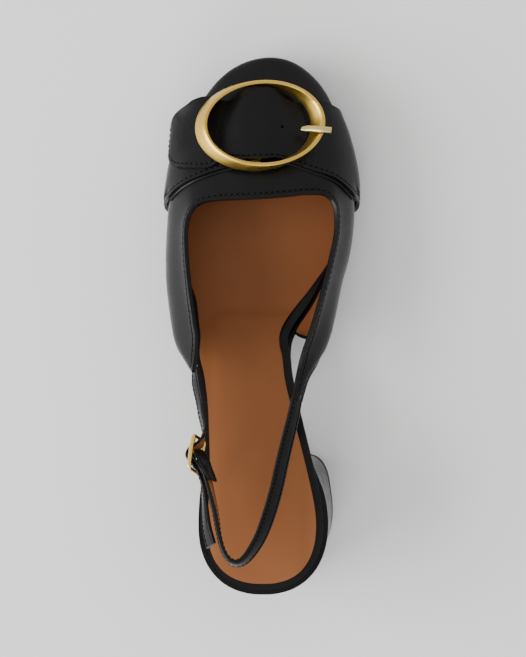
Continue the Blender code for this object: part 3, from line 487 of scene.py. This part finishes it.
def rounded_off(points: list, passes: int) -> list:
    """Return a broken line with its corners eased."""
    for _ in range(passes):
        inner = [(a + b * 2.0 + c) / 4.0 for a, b, c in zip(points, points[1:], points[2:])]
        points = [points[0]] + inner + [points[-1]]
    return points


def turning_run(points: list, wanted: list) -> list:
    """Return the longest run of wanted points on a closed loop."""
    count = len(points)
    best = []
    for first in range(count):
        if wanted[first] and not wanted[first - 1]:
            run = []
            while len(run) < count and wanted[(first + len(run)) % count]:
                run.append(points[(first + len(run)) % count])
            best = max(best, run, key=len)
    return best


def mirrored(right: list) -> list:
    """Return an outline with its right half's mirror image before that half."""
    return [(-across, out) for across, out in reversed(right)] + right


@dataclass
class Seam:
    """A row of stitches.

    Attributes:
        length: the length of one stitch.
        pitch: the step from one stitch to the next.
        thick: the thread's thickness.
        proud: how far the thread's middle stands off the leather.
        painted_groove_shade: half the width of the dark line under the row.
        dip: how far the stitch's ends dip, against the thread's thickness.
    """

    length: float = 1.9 * MM
    pitch: float = 2.6 * MM
    thick: float = 0.50 * MM
    proud: float = 0.10 * MM
    # groove: half the width of the strip of painted shade under the row.
    painted_groove_shade: float = 0.32 * MM
    dip: float = 1.2

    def stitch(self) -> bpy.types.Object:
        """Model one stitch: a short thread whose ends dip into the leather."""
        bpy.ops.object.select_all(action="DESELECT")
        bpy.ops.mesh.primitive_uv_sphere_add(segments=8, ring_count=6, radius=0.5,
                                             rotation=(0.0, math.pi / 2, 0.0))
        obj = bpy.context.active_object
        bpy.ops.object.transform_apply(location=True, rotation=True, scale=True)
        for vert in obj.data.vertices:
            x, y, z = vert.co
            vert.co = (x * self.length, y * self.thick, z * self.thick - self.dip * x * x * self.thick)
        return obj

    def sew(self, name: str, paths: list, finish: Finish) -> bpy.types.Object:
        """Sew rows of stitches.

        Args:
            name: the piece's name.
            paths: rows, each a list of a point and the surface's normal there.
            finish: the thread.

        Returns:
            All the stitches as one piece.
        """
        pattern = self.stitch()
        mesh = bmesh.new()
        for path in paths:
            for (start, normal), (end, _) in zip(path, path[1:]):
                run = (end - start).normalized()
                side = normal.cross(run).normalized()
                turn = Matrix((run, side, run.cross(side))).transposed().to_4x4()
                place = Matrix.Translation((start + end) / 2.0 + normal * self.proud) @ turn
                first = len(mesh.verts)
                mesh.from_mesh(pattern.data)
                mesh.verts.ensure_lookup_table()
                bmesh.ops.transform(mesh, matrix=place, verts=mesh.verts[first:])
        bpy.data.objects.remove(pattern)
        obj = linked(name, mesh)
        obj.data.shade_smooth()
        # Each row gets a thin dark strip of painted shade along it.
        for i, path in enumerate(paths):
            self.press(f"{name}_groove_{i}", path)
        return finished(obj, finish)

    def press(self, name: str, path: list) -> bpy.types.Object:
        """Model the line that a row of stitches presses into the leather as a thin dark strip of painted
        shade.
        """
        outline = mirrored([(self.painted_groove_shade, 0.03 * MM), (self.painted_groove_shade, -0.2 * MM)])
        return finished(laid(name, path, outline), PAINTED_SHADE_BLACK)

    def along(self, points: list, cloak: Cloak) -> list:
        """Return a row's places on a surface, one pitch apart."""
        return [cloak.place(p) for p in resampled(points, self.pitch)]


def swept(name: str, middles: list, ways: list, outs: list, section: list) -> bpy.types.Object:
    """Sweep a closed outline along a path.

    Args:
        name: the piece's name.
        middles: the path's points.
        ways: the way across the path at each point.
        outs: the way out of the surface at each point.
        section: the outline's points, across and out.

    Returns:
        The new piece, closed at both ends.
    """
    mesh = bmesh.new()
    rings = []
    for middle, way, out in zip(middles, ways, outs):
        rings.append([mesh.verts.new(middle + way * a + out * b) for a, b in section])
    for ring, following in zip(rings, rings[1:]):
        for i in range(len(section)):
            j = (i + 1) % len(section)
            mesh.faces.new((ring[i], ring[j], following[j], following[i]))
    mesh.faces.new(rings[0])
    mesh.faces.new(rings[-1])
    bmesh.ops.recalc_face_normals(mesh, faces=mesh.faces)
    obj = linked(name, mesh)
    only(obj)
    bpy.ops.object.shade_smooth_by_angle(angle=math.radians(50.0))
    return obj


def laid(name: str, places: list, section: list) -> bpy.types.Object:
    """Sweep a closed outline along places on a surface.

    Args:
        name: the piece's name.
        places: points on the surface, each with the way out there.
        section: the outline's points, across and out.

    Returns:
        The new piece.
    """
    spots = [spot for spot, _ in places]
    outs = [out for _, out in places]
    runs = [(b - a).normalized() for a, b in zip(spots[:1] + spots, spots[1:] + spots[-1:])]
    ways = [run.cross(out).normalized() for run, out in zip(runs, outs)]
    return swept(name, spots, ways, outs, section)


TAIL_PULL = Pull((-28.0 * MM, -21.0 * MM), 17.0 * MM, (-2.0 * MM, -1.0 * MM))
WAIST_PULL = Pull((15.5 * MM, 9.0 * MM), 22.0 * MM, (3.2 * MM, -2.0 * MM), ceiling=34.0 * MM)


@dataclass
class Sole:
    """Outsole, covered heel, top piece, wrapped board and sock.

    Attributes:
        edge, tip_edge, board_edge, sock_edge: how far the pieces' edges are rounded.
        pad_height: the height of the heel pad under the sock.
        pad_front, pad_middle, pad_half: where the pad ends and how wide it is.
        spread: how far the sock is drawn out over the board's edge.
        waist_spread: how far more it is drawn out at the outer side of the waist.
        waist: where along the shoe that is most, and how far it is felt.
        side_ramp, outer_ramp, heel_ramp: places along the shoe between which the spread grows.
        full: the distance from the middle line at which the spread is full.
    """

    edge: float = 0.7 * MM
    tip_edge: float = 0.5 * MM
    board_edge: float = 1.2 * MM
    sock_edge: float = 0.35 * MM
    pad_height: float = 0.90 * MM
    pad_front: tuple = (4.0 * MM, 1.1 * MM)
    pad_middle: float = 0.3 * MM
    pad_half: float = 19.0 * MM
    spread: float = 0.9 * MM
    waist_spread: float = 1.8 * MM
    waist: tuple = (-1.0 * MM, 14.0 * MM)
    side_ramp: tuple = (10.0 * MM, -15.0 * MM)
    outer_ramp: tuple = (12.0 * MM, -8.0 * MM)
    heel_ramp: tuple = (-80.0 * MM, -110.0 * MM)
    full: float = 18.0 * MM

    def build(self) -> None:
        """Build the pieces under the foot."""
        outsole = carried("outsole", "outsole_leather")
        WAIST_PULL.apply(outsole)
        soften(outsole, self.edge)
        finished(outsole, RAND_BLACK, ("outsole",))
        block = carried("heel_block", "heel_cover")
        soften(block, self.edge)
        finished(block, HEEL_BLACK, ("heel_block",))
        tip = carried("heel_tip", "heel_top_piece")
        soften(tip, self.tip_edge)
        finished(tip, RUBBER, ("heel_tip",))
        board = carried("footbed", "wrapped_board")
        WAIST_PULL.apply(board)
        soften(board, self.board_edge)
        finished(board, RAND_BLACK, ("footbed",))
        self.build_sock()

    def build_sock(self) -> None:
        """Build the tan sock, raised over its heel pad."""
        sock = carried("sock", "sock_leather")
        WAIST_PULL.apply(sock)
        soften(sock, self.sock_edge, levels=3)
        for vert in sock.data.vertices:
            x, y, _ = vert.co
            vert.co.z += self.pad_height * self.pad(x, y)
            wide = self.spread * ramp(y, *self.side_ramp)
            if x < 0.0:
                wide += self.spread * ramp(y, *self.outer_ramp)
                wide += self.waist_spread * math.exp(-((y - self.waist[0]) / self.waist[1]) ** 2)
            vert.co.x += wide * min(max(x / self.full, -1.0), 1.0)
            vert.co.y -= self.spread * ramp(y, *self.heel_ramp)
        finished(sock, TAN, ("sock",))

    def pad(self, x: float, y: float) -> float:
        """Return the heel pad's share of height at a place: a long oval with a soft edge."""
        end, step = self.pad_front
        steep = 14.0
        front = 1.0 / (1.0 + math.exp((y - end) / step))
        across = abs(x - self.pad_middle) / self.pad_half
        side = 1.0 / (1.0 + math.exp((across - 1.0) * steep))
        return front * side


@dataclass
class Upper:
    """Vamp and quarters with their lining and stitched edge.

    Attributes:
        rim_round: how far the leather's edges are rounded.
        seam_in: how far the stitches run from the edge.
        fold_in: how far the fold's middle runs from the edge.
        fold_half: half the fold's width.
        lining_in: how far the lining stays inside the edge.
        lining_thick: the lining's thickness.
        board_gap: the distance from the board at which the edge counts as free.
        seam: the stitches.
    """

    rim_round: float = 0.55 * MM
    seam_in: float = 2.3 * MM
    fold_in: float = 1.25 * MM
    fold_half: float = 0.7 * MM
    lining_in: float = 0.9 * MM
    lining_thick: float = 0.30 * MM
    board_gap: float = 4.6 * MM
    seam: Seam = field(default_factory=Seam)

    def build(self) -> None:
        """Build the upper."""
        upper = carried("upper", "upper_leather")
        TAIL_PULL.apply(upper)
        WAIST_PULL.apply(upper)
        rim = Skin(upper).rim()
        lining = self.build_lining(upper)
        soften(upper, self.rim_round)
        finished(upper, BLACK, ("upper",))
        finished(lining, TAN_LINING)
        cloak = Cloak(upper)
        free = self.free(rim)
        row = rounded_off(turning_run(rim.offset(self.seam_in), free), 2)
        self.seam.sew("topline_stitches", [self.seam.along(row, cloak)], BLACK_THREAD)
        self.build_fold(rim, free, cloak)

    def free(self, rim: Rim) -> list:
        """Return whether each point of the rim stands clear of the sole."""
        board = Cloak(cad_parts["footbed"])
        return [(board.place(p)[0] - p).length > self.board_gap for p in rim.points]

    def build_fold(self, rim: Rim, free: list, cloak: Cloak) -> None:
        """Build the folded allowance along the free edge as a slim raised band."""
        middles = [point for point, wanted in zip(rim.offset(self.fold_in), free) if wanted]
        first = max(range(len(middles)), key=lambda i: (middles[i] - middles[i - 1]).length)
        middles = resampled(rounded_off(middles[first:] + middles[:first], 1), 1.2 * MM)
        half = self.fold_half
        section = [(-half, -0.25 * MM), (-0.7 * half, 0.06 * MM), (0.0, 0.12 * MM),
                   (0.7 * half, 0.06 * MM), (half, -0.25 * MM)]
        finished(laid("topline_fold", [cloak.place(p) for p in middles], section), BLACK)

    def build_lining(self, upper: bpy.types.Object) -> bpy.types.Object:
        """Build the tan lining inside the upper, short of the folded edge."""
        skin = Skin(upper, rank=1)
        mesh = skin.mesh
        bmesh.ops.delete(mesh, geom=[f for f in mesh.faces if f not in skin.faces], context="FACES")
        for vert in mesh.verts:
            if vert.is_boundary:
                into = Vector()
                for edge in vert.link_edges:
                    if not edge.is_boundary:
                        into += edge.other_vert(vert).co - vert.co
                if into.length > 0.0:
                    vert.co += into.normalized() * self.lining_in
        obj = linked("upper_lining", mesh)
        only(obj)
        wall = obj.modifiers.new("wall", "SOLIDIFY")
        wall.thickness = self.lining_thick
        wall.offset = 0.2
        bpy.ops.object.modifier_apply(modifier=wall.name)
        soften(obj, 0.08 * MM)
        return obj


@dataclass
class ToeStrap:
    """A strap over the vamp with its stitched edge.

    Attributes:
        node: the model's node that it replaces.
        name: the piece's name.
        edge: how far its edges are rounded.
        turn: the least turn in degrees of a sharp edge of the model.
        seam_in: how far the stitches run from the edge.
        front: the least forward part of the way into the strap where its edge is sewn.
        rear: the least forward part of that way where the layer below shows.
        facing_out: how far the layer below stands out past the edge.
        facing_half: half that layer's width.
        facing_reach: the greatest height above the vamp at which it is built.
        pulls: soft pulls on its edges.
        seam: the stitches.
    """

    node: str
    name: str
    edge: float = 0.5 * MM
    turn: float = 40.0
    seam_in: float = 1.5 * MM
    front: float = -0.3
    rear: float = 0.4
    facing_out: float = 0.35 * MM
    facing_half: float = 0.85 * MM
    facing_reach: float = 3.4 * MM
    pulls: tuple = ()
    seam: Seam = field(default_factory=Seam)

    def build(self) -> None:
        """Build the strap and its stitches."""
        strap = carried(self.node, self.name)
        for pull in self.pulls:
            pull.apply(strap)
        rims = [Skin(strap, rank, self.turn).rim() for rank in (0, 1)]
        rim = max(rims, key=lambda r: sum(p.z for p in r.points) / len(r.points))
        soften(strap, self.edge)
        finished(strap, BLACK, (self.node,))
        cloak = Cloak(strap)
        sewn = [way.y > self.front for way in rim.inward]
        row = rounded_off(turning_run(rim.offset(self.seam_in), sewn), 1)
        self.seam.sew(self.name + "_stitches", [self.seam.along(row, cloak)], BLACK_THREAD)
        self.build_facing(rim)

    def build_facing(self, rim: Rim) -> None:
        """Build the lower layer whose edge shows behind the strap's rear edge."""
        vamp = Cloak(bpy.data.objects["upper_leather"])
        low = []
        for point, way in zip(rim.points, rim.inward):
            spot = vamp.place(point)[0]
            low.append(way.y > self.rear and (spot - point).length < self.facing_reach)
        run = turning_run(rim.offset(-self.facing_out), low)
        places = [vamp.place(p) for p in resampled(rounded_off(run, 2), 1.5 * MM)]
        half = self.facing_half
        section = mirrored([(0.6 * half, 0.8 * MM), (half, 0.55 * MM), (half, -0.3 * MM)])
        finished(laid(self.name + "_facing", places, section), BLACK)


TAB_PULLS = (Pull((-26.0 * MM, 103.0 * MM), 13.0 * MM, (0.2 * MM, 1.2 * MM)),
             Pull((-38.0 * MM, 95.0 * MM), 12.0 * MM, (0.5 * MM, 0.0)),
             Pull((-21.0 * MM, 71.0 * MM), 9.0 * MM, (0.0, -2.0 * MM)),
             Pull((-10.0 * MM, 74.5 * MM), 7.0 * MM, (0.0, -1.6 * MM)),
             Pull((6.0 * MM, 75.0 * MM), 9.0 * MM, (0.0, -1.4 * MM)),
             Pull((13.0 * MM, 73.0 * MM), 8.0 * MM, (0.0, -1.8 * MM)))


@dataclass
class Ring:
    """The big oblique oval ring with its bar and prong.

    Attributes:
        tilt, roll: how far it is turned about the shoe's width and length.
        half_length, half_width, height: its size.
        rim, base: the width of its wall at the top and at the bottom.
        shift: how far its rim stands beside its base.
        taper: how much narrower its rim is than its base, on each side.
        steps: the number of cross-sections.
        bar_size: the bar's width and thickness.
        bar_front: how far forwards the bar reaches from the ring's middle.
        bar_drop: how far the bar lies under the ring's base.
        prong_round: the length over which the prong's tip narrows.
        prong_widths: the prong's width at the tip and behind it, against the model's.
        prong_shift: how far it lies from the model's.
        hole: the place of the spare hole, across and along.
        hole_size: the hole's radius and depth.
    """

    tilt: float = math.radians(20.3)
    roll: float = math.radians(-2.0)
    half_length: float = 27.7 * MM
    half_width: float = 22.3 * MM
    height: float = 6.0 * MM
    rim: float = 1.8 * MM
    base: float = 2.9 * MM
    shift: tuple = (4.6 * MM, -1.0 * MM)
    taper: float = 1.0 * MM
    steps: int = 144
    bar_size: tuple = (5.4 * MM, 1.9 * MM)
    bar_front: float = 10.0 * MM
    bar_drop: float = 0.80 * MM
    prong_round: float = 4.5 * MM
    prong_widths: tuple = (0.38, 0.84)
    prong_shift: tuple = (0.8 * MM, 0.8 * MM, 0.0)
    hole: tuple = (10.0 * MM, 88.4 * MM)
    hole_size: tuple = (0.75 * MM, 0.5 * MM)

    def __post_init__(self) -> None:
        """Read the ring's own frame off the model's node."""
        turn = Matrix.Rotation(-self.tilt, 3, "X") @ Matrix.Rotation(self.roll, 3, "Y")
        points = [turn.inverted() @ v.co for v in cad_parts["toe_buckle"].data.vertices]
        centre = turn @ Vector((min(p.x for p in points) + self.half_length,
                                max(p.y for p in points) - self.half_width,
                                max(p.z for p in points) - self.height))
        self.frame = Matrix.Translation(centre) @ turn.to_4x4()

    def spot(self, angle: float, level: float, inset: float) -> Vector:
        """Return a point of the ring at a level from 0 on its base to 1 on its rim."""
        x = (self.half_length - inset) * math.cos(angle) + self.shift[0] * level
        y = (self.half_width - inset - self.taper * level) * math.sin(angle) + self.shift[1] * level
        return self.frame @ Vector((x, y, self.height * level))

    def build(self) -> None:
        """Build the ring, its bar and its prong."""
        profile = ((0.00, 0.06), (0.10, 0.00), (0.45, 0.00), (0.80, 0.00), (0.93, 0.06), (1.00, 0.30),
                   (1.00, 0.70), (0.95, 0.95), (0.80, 1.00), (0.45, 1.00), (0.10, 1.00), (0.00, 0.92))
        mesh = bmesh.new()
        rings = []
        for i in range(self.steps):
            angle = 2.0 * math.pi * i / self.steps
            ring = []
            for level, share in profile:
                width = self.base + (self.rim - self.base) * level
                ring.append(mesh.verts.new(self.spot(angle, level, width * share)))
            rings.append(ring)
        for i, ring in enumerate(rings):
            following = rings[(i + 1) % self.steps]
            for j in range(len(profile)):
                k = (j + 1) % len(profile)
                mesh.faces.new((ring[j], following[j], following[k], ring[k]))
        bmesh.ops.recalc_face_normals(mesh, faces=mesh.faces)
        obj = linked("toe_ring", mesh)
        only(obj)
        bpy.ops.object.shade_smooth_by_angle(angle=math.radians(28.0))
        finished(obj, GOLD, ("toe_buckle",))
        self.build_bar()
        self.build_pinhole()
        prong = carried("toe_buckle_prong", "toe_ring_prong")
        soften(prong, 0.25 * MM)
        self.taper_prong(prong)
        finished(prong, PALE_GOLD, ("toe_buckle_prong",))

    def taper_prong(self, prong: bpy.types.Object) -> None:
        """Round the prong's inner tip and slim the rest."""
        tip = min(v.co.x for v in prong.data.vertices)
        near = [v.co.y for v in prong.data.vertices if v.co.x < tip + 3.0 * MM]
        middle = sum(near) / len(near)
        least, full = self.prong_widths
        for vert in prong.data.vertices:
            share = min((vert.co.x - tip) / self.prong_round, 1.0)
            width = least + (full - least) * math.sqrt(share * (2.0 - share))
            vert.co.y = middle + (vert.co.y - middle) * width
            vert.co += Vector(self.prong_shift)

    def build_pinhole(self) -> None:
        """Build the spare hole in the strap beside the prong as a small dark disc of painted shade."""
        strap = Cloak(bpy.data.objects["toe_strap_upper"])
        above = Vector((*self.hole, 90.0 * MM))
        spot, normal, _, _ = strap.tree.ray_cast(above, Vector((0.0, 0.0, -1.0)))
        radius, depth = self.hole_size
        bpy.ops.object.select_all(action="DESELECT")
        bpy.ops.mesh.primitive_cylinder_add(vertices=20, radius=radius, depth=depth)
        hole = bpy.context.active_object
        hole.name = "strap_pinhole_shade"
        turn = Vector((0.0, 0.0, 1.0)).rotation_difference(normal).to_matrix().to_4x4()
        hole.data.transform(Matrix.Translation(spot - normal * 0.4 * depth) @ turn)
        finished(hole, PAINTED_SHADE_BLACK)

    def build_bar(self) -> None:
        """Build the bar from the ring's rear side to its end under the strap, shaped from a cube."""
        bpy.ops.object.select_all(action="DESELECT")
        bpy.ops.mesh.primitive_cube_add(size=1.0)
        bar = bpy.context.active_object
        bar.name = "toe_ring_bar"
        rear = -self.half_width + 0.5 * self.base
        front = self.bar_front
        size = Matrix.Diagonal((self.bar_size[0], front - rear, self.bar_size[1], 1.0))
        place = Matrix.Translation((0.0, 0.5 * (front + rear), -self.bar_drop))
        bar.data.transform(self.frame @ place @ size)
        soften(bar, 0.5 * MM)
        finished(bar, GOLD)


@dataclass
class Section:
    """A cross-section of a strap: its middle, the ways across and out, half its width and thickness."""

    middle: Vector
    across: Vector
    out: Vector
    half: float
    deep: float


@dataclass
class Sling:
    """A narrow strap of black leather lined with tan, stitched along both edges.

    Attributes:
        node: the model's node that it replaces.
        name: the piece's name.
        outward: the way that its leather faces at its front end.
        seam_in: how far the stitches run from the edges.
        lining_back: how far the lining stays inside the edges.
        sewn: how far its front end is drawn on to the quarter.
        lean: shares of its length, each with the degrees that its upper edge leans in there.
        seam: the stitches.
    """

    node: str
    name: str
    outward: tuple
    seam_in: float = 1.05 * MM
    lining_back: float = 0.75 * MM
    sewn: float = 0.9 * MM
    lean: tuple = ((0.0, 0.0), (1.0, 0.0))
    seam: Seam = field(default_factory=lambda: Seam(length=1.6 * MM, pitch=2.2 * MM, thick=0.42 * MM))

    def sections(self) -> list:
        """Return the strap's cross-sections from its front end on."""
        source = carried(self.node, self.name + "_guide")
        mesh = bmesh.new()
        mesh.from_mesh(source.data)
        bpy.data.objects.remove(source)
        corners = 8
        level = sorted(mesh.verts, key=lambda v: -v.co.y)[:corners]
        seen = set(level)
        found = []
        out = Vector(self.outward).normalized()
        across = None
        rings = []
        while level:
            rings.append([v.co.copy() for v in level])
            following = {e.other_vert(v) for v in level for e in v.link_edges} - seen
            level = sorted(following, key=lambda v: v.index)
            seen.update(level)
        mesh.free()
        middles = [sum(ring, Vector()) / len(ring) for ring in rings]
        for i, ring in enumerate(rings):
            run = (middles[min(i + 1, len(rings) - 1)] - middles[max(i - 1, 0)]).normalized()
            offsets = np.array([tuple(p - middles[i]) for p in ring])
            way = Vector(np.linalg.svd(offsets)[2][0])
            way = (way - run * way.dot(run)).normalized()
            if across is not None and way.dot(across) < 0.0:
                way = -way
            face = run.cross(way)
            if across is None and face.dot(out) < 0.0:
                way, face = -way, -face
            across = way
            half = max(abs(Vector(o).dot(way)) for o in offsets)
            deep = max(abs(Vector(o).dot(face)) for o in offsets)
            found.append(Section(middles[i], way, face, half, deep))
        return found

    def smooth(self, sections: list, steps: int = 3) -> list:
        """Return the cross-sections with smooth steps between them."""
        fine = []
        last = len(sections) - 1
        for i in range(last):
            near = [sections[max(i - 1, 0)], sections[i], sections[i + 1], sections[min(i + 2, last)]]
            for k in range(steps):
                t = k / steps
                weights = (-0.5 * t + t * t - 0.5 * t ** 3, 1.0 - 2.5 * t * t + 1.5 * t ** 3,
                           0.5 * t + 2.0 * t * t - 1.5 * t ** 3, -0.5 * t * t + 0.5 * t ** 3)
                middle = sum((s.middle * w for s, w in zip(near, weights)), Vector())
                across = near[1].across.lerp(near[2].across, t).normalized()
                out = near[1].out.lerp(near[2].out, t).normalized()
                half = near[1].half + (near[2].half - near[1].half) * t
                deep = near[1].deep + (near[2].deep - near[1].deep) * t
                fine.append(Section(middle, across, out, half, deep))
        fine.append(sections[-1])
        return fine

    def leaned(self, sections: list) -> list:
        """Return the cross-sections with their upper edges leaning in, as far as the lean rows say."""
        places, degrees = zip(*self.lean)
        last = len(sections) - 1
        turned = []
        for i, s in enumerate(sections):
            angle = math.radians(float(np.interp(i / last, places, degrees)))
            angle = math.copysign(angle, s.across.z * angle) if angle else 0.0
            across = s.across * math.cos(angle) - s.out * math.sin(angle)
            out = s.out * math.cos(angle) + s.across * math.sin(angle)
            shift = Vector((TAIL_PULL.shift[0], 0.0, 0.0)) * TAIL_PULL.share(s.middle)
            turned.append(Section(s.middle + shift, across, out, s.half, s.deep))
        return turned

    def sewn_end(self, first: Section, second: Section) -> Section:
        """Return the first cross-section drawn up to the quarter that it is sewn to."""
        step = (first.middle - second.middle).normalized() * self.sewn
        return Section(first.middle + step, first.across, first.out, first.half, first.deep)

    def build(self) -> None:
        """Build leather, lining and stitches."""
        sections = self.leaned(self.smooth(self.sections()))
        sections[0] = self.sewn_end(sections[0], sections[1])
        middles = [s.middle for s in sections]
        ways = [s.across for s in sections]
        outs = [s.out for s in sections]
        half = sections[0].half
        deep = [s.deep for s in sections]
        mesh_outs = [o * (d / deep[0]) for o, d in zip(outs, deep)]
        d = deep[0]
        shoulder = half - 0.8 * MM
        corner = half - 0.25 * MM
        leather = mirrored([(shoulder, d), (corner, 0.75 * d), (half, 0.35 * d), (half, -0.5 * d),
                            (corner, -0.82 * d)])
        inner = half - self.lining_back
        lining = mirrored([(inner - 0.3 * MM, -d), (inner, -0.90 * d), (inner, -0.60 * d)])
        finished(swept(self.name, middles, ways, mesh_outs, leather), BLACK, (self.node,))
        finished(swept(self.name + "_lining", middles, ways, mesh_outs, lining), TAN_LINING)
        threads = ((1.0, BLACK_THREAD, "_stitches"), (-1.0, BROWN_THREAD, "_lining_stitches"))
        for sign, finish, label in threads:
            rows = []
            for side in (-1.0, 1.0):
                line = [m + w * side * (half - self.seam_in) + o * sign * k
                        for m, w, o, k in zip(middles, ways, outs, deep)]
                points = resampled(line, self.seam.pitch)
                rows.append([(p, self.normal(p, middles, outs) * sign) for p in points])
            self.seam.sew(self.name + label, rows, finish)

    def normal(self, point: Vector, middles: list, outs: list) -> Vector:
        """Return the way out of the strap nearest to a point."""
        i = min(range(len(middles)), key=lambda k: (middles[k] - point).length)
        return outs[i]


SLING_LEAN = ((0.0, 0.0), (0.55, 0.0), (0.68, 28.0), (0.90, 28.0), (1.0, 10.0))
FRONT_LEAN = ((0.0, 20.0), (0.04, 38.0), (0.18, 40.0), (0.26, 24.0), (0.34, 0.0),
              (0.76, 0.0), (0.84, 25.0), (0.91, 46.0), (1.0, 48.0))


class SmallBuckle:
    """The small frame and its prong."""

    def build(self) -> None:
        """Build the frame and the prong."""
        buckle = carried("strap_buckle", "strap_frame")
        soften(buckle, 0.1 * MM, angle=80.0)
        finished(buckle, SMALL_GOLD, ("strap_buckle",))
        prong = carried("strap_buckle_prong", "strap_frame_prong")
        soften(prong, 0.15 * MM)
        finished(prong, SMALL_GOLD, ("strap_buckle_prong",))


@dataclass
class Studio:
    """Pale floor, soft lights and the camera over the shoe.

    Attributes:
        eye, target: where the camera stands and what it looks at.
        lens: its focal length in millimetres.
        floor_size: the floor's width.
        sky: the strength of the light from all round.
        lamps: each lamp's name, place, width and power in watts.
    """

    eye: tuple = (0.0468, -0.0035, 1.40)
    target: tuple = (0.0008, -0.0028, 0.020)
    lens: float = 165.4
    floor_size: float = 6.0
    sky: float = 0.93
    lamps: tuple = (("left", (-2.20, -0.30, 0.90), 2.2, 100.0), ("heel", (-0.60, -2.10, 1.00), 1.2, 26.0))

    def build(self) -> None:
        """Build the studio."""
        bpy.ops.object.select_all(action="DESELECT")
        bpy.ops.mesh.primitive_plane_add(size=self.floor_size, location=(0.0, 0.0, 0.0))
        floor = bpy.context.active_object
        floor.name = "floor"
        graph = Graph("floor_paper")
        shader = graph.shader.inputs
        tone = graph.spread(graph.noise(3.0, 2.0))
        graph.feed(shader["Base Color"], graph.mix(tone, (0.89, 0.89, 0.88), (0.87, 0.87, 0.86)))
        shader["Roughness"].default_value = 0.85
        floor.data.materials.append(graph.mat)
        world = bpy.data.worlds.new("soft_world")
        world.use_nodes = True
        light = world.node_tree.nodes["Background"].inputs
        light["Color"].default_value = (1.0, 1.0, 1.0, 1.0)
        light["Strength"].default_value = self.sky
        bpy.context.scene.world = world
        for name, place, size, power in self.lamps:
            self.lamp(name, place, size, power)
        self.camera()

    def lamp(self, name: str, place: tuple, size: float, power: float) -> None:
        """Add a soft square light aimed at the shoe."""
        data = bpy.data.lights.new(name, "AREA")
        data.energy = power
        data.size = size
        lamp = bpy.data.objects.new(name, data)
        lamp.location = place
        lamp.rotation_mode = "QUATERNION"
        lamp.rotation_quaternion = (-Vector(place)).to_track_quat("-Z", "Y")
        bpy.context.scene.collection.objects.link(lamp)

    def camera(self) -> None:
        """Place the camera as in the photograph, over the space between the pair."""
        data = bpy.data.cameras.new("camera")
        data.lens = self.lens
        data.clip_start = 0.05
        data.clip_end = 20.0
        camera = bpy.data.objects.new("camera", data)
        camera.location = self.eye
        back = (Vector(self.eye) - Vector(self.target)).normalized()
        right = Vector((0.0, 1.0, 0.0)).cross(back).normalized()
        turn = Matrix((right, back.cross(right), back)).transposed()
        camera.rotation_mode = "QUATERNION"
        camera.rotation_quaternion = turn.to_quaternion()
        bpy.context.scene.collection.objects.link(camera)
        bpy.context.scene.camera = camera


def main() -> None:
    """Build the shoe piece by piece."""
    logging.basicConfig(level=logging.INFO, format="%(message)s")
    Studio().build()
    Sole().build()
    Upper().build()
    ToeStrap("toe_strap_under", "toe_strap_lower").build()
    ToeStrap("toe_strap_over", "toe_strap_upper", pulls=TAB_PULLS).build()
    Ring().build()
    Sling("heel_strap", "sling_strap", (1.0, 0.0, 0.6), lean=SLING_LEAN).build()
    Sling("buckle_strap", "front_strap", (-1.0, 0.0, 0.2), lean=FRONT_LEAN).build()
    SmallBuckle().build()


if __name__ == "__main__":
    main()
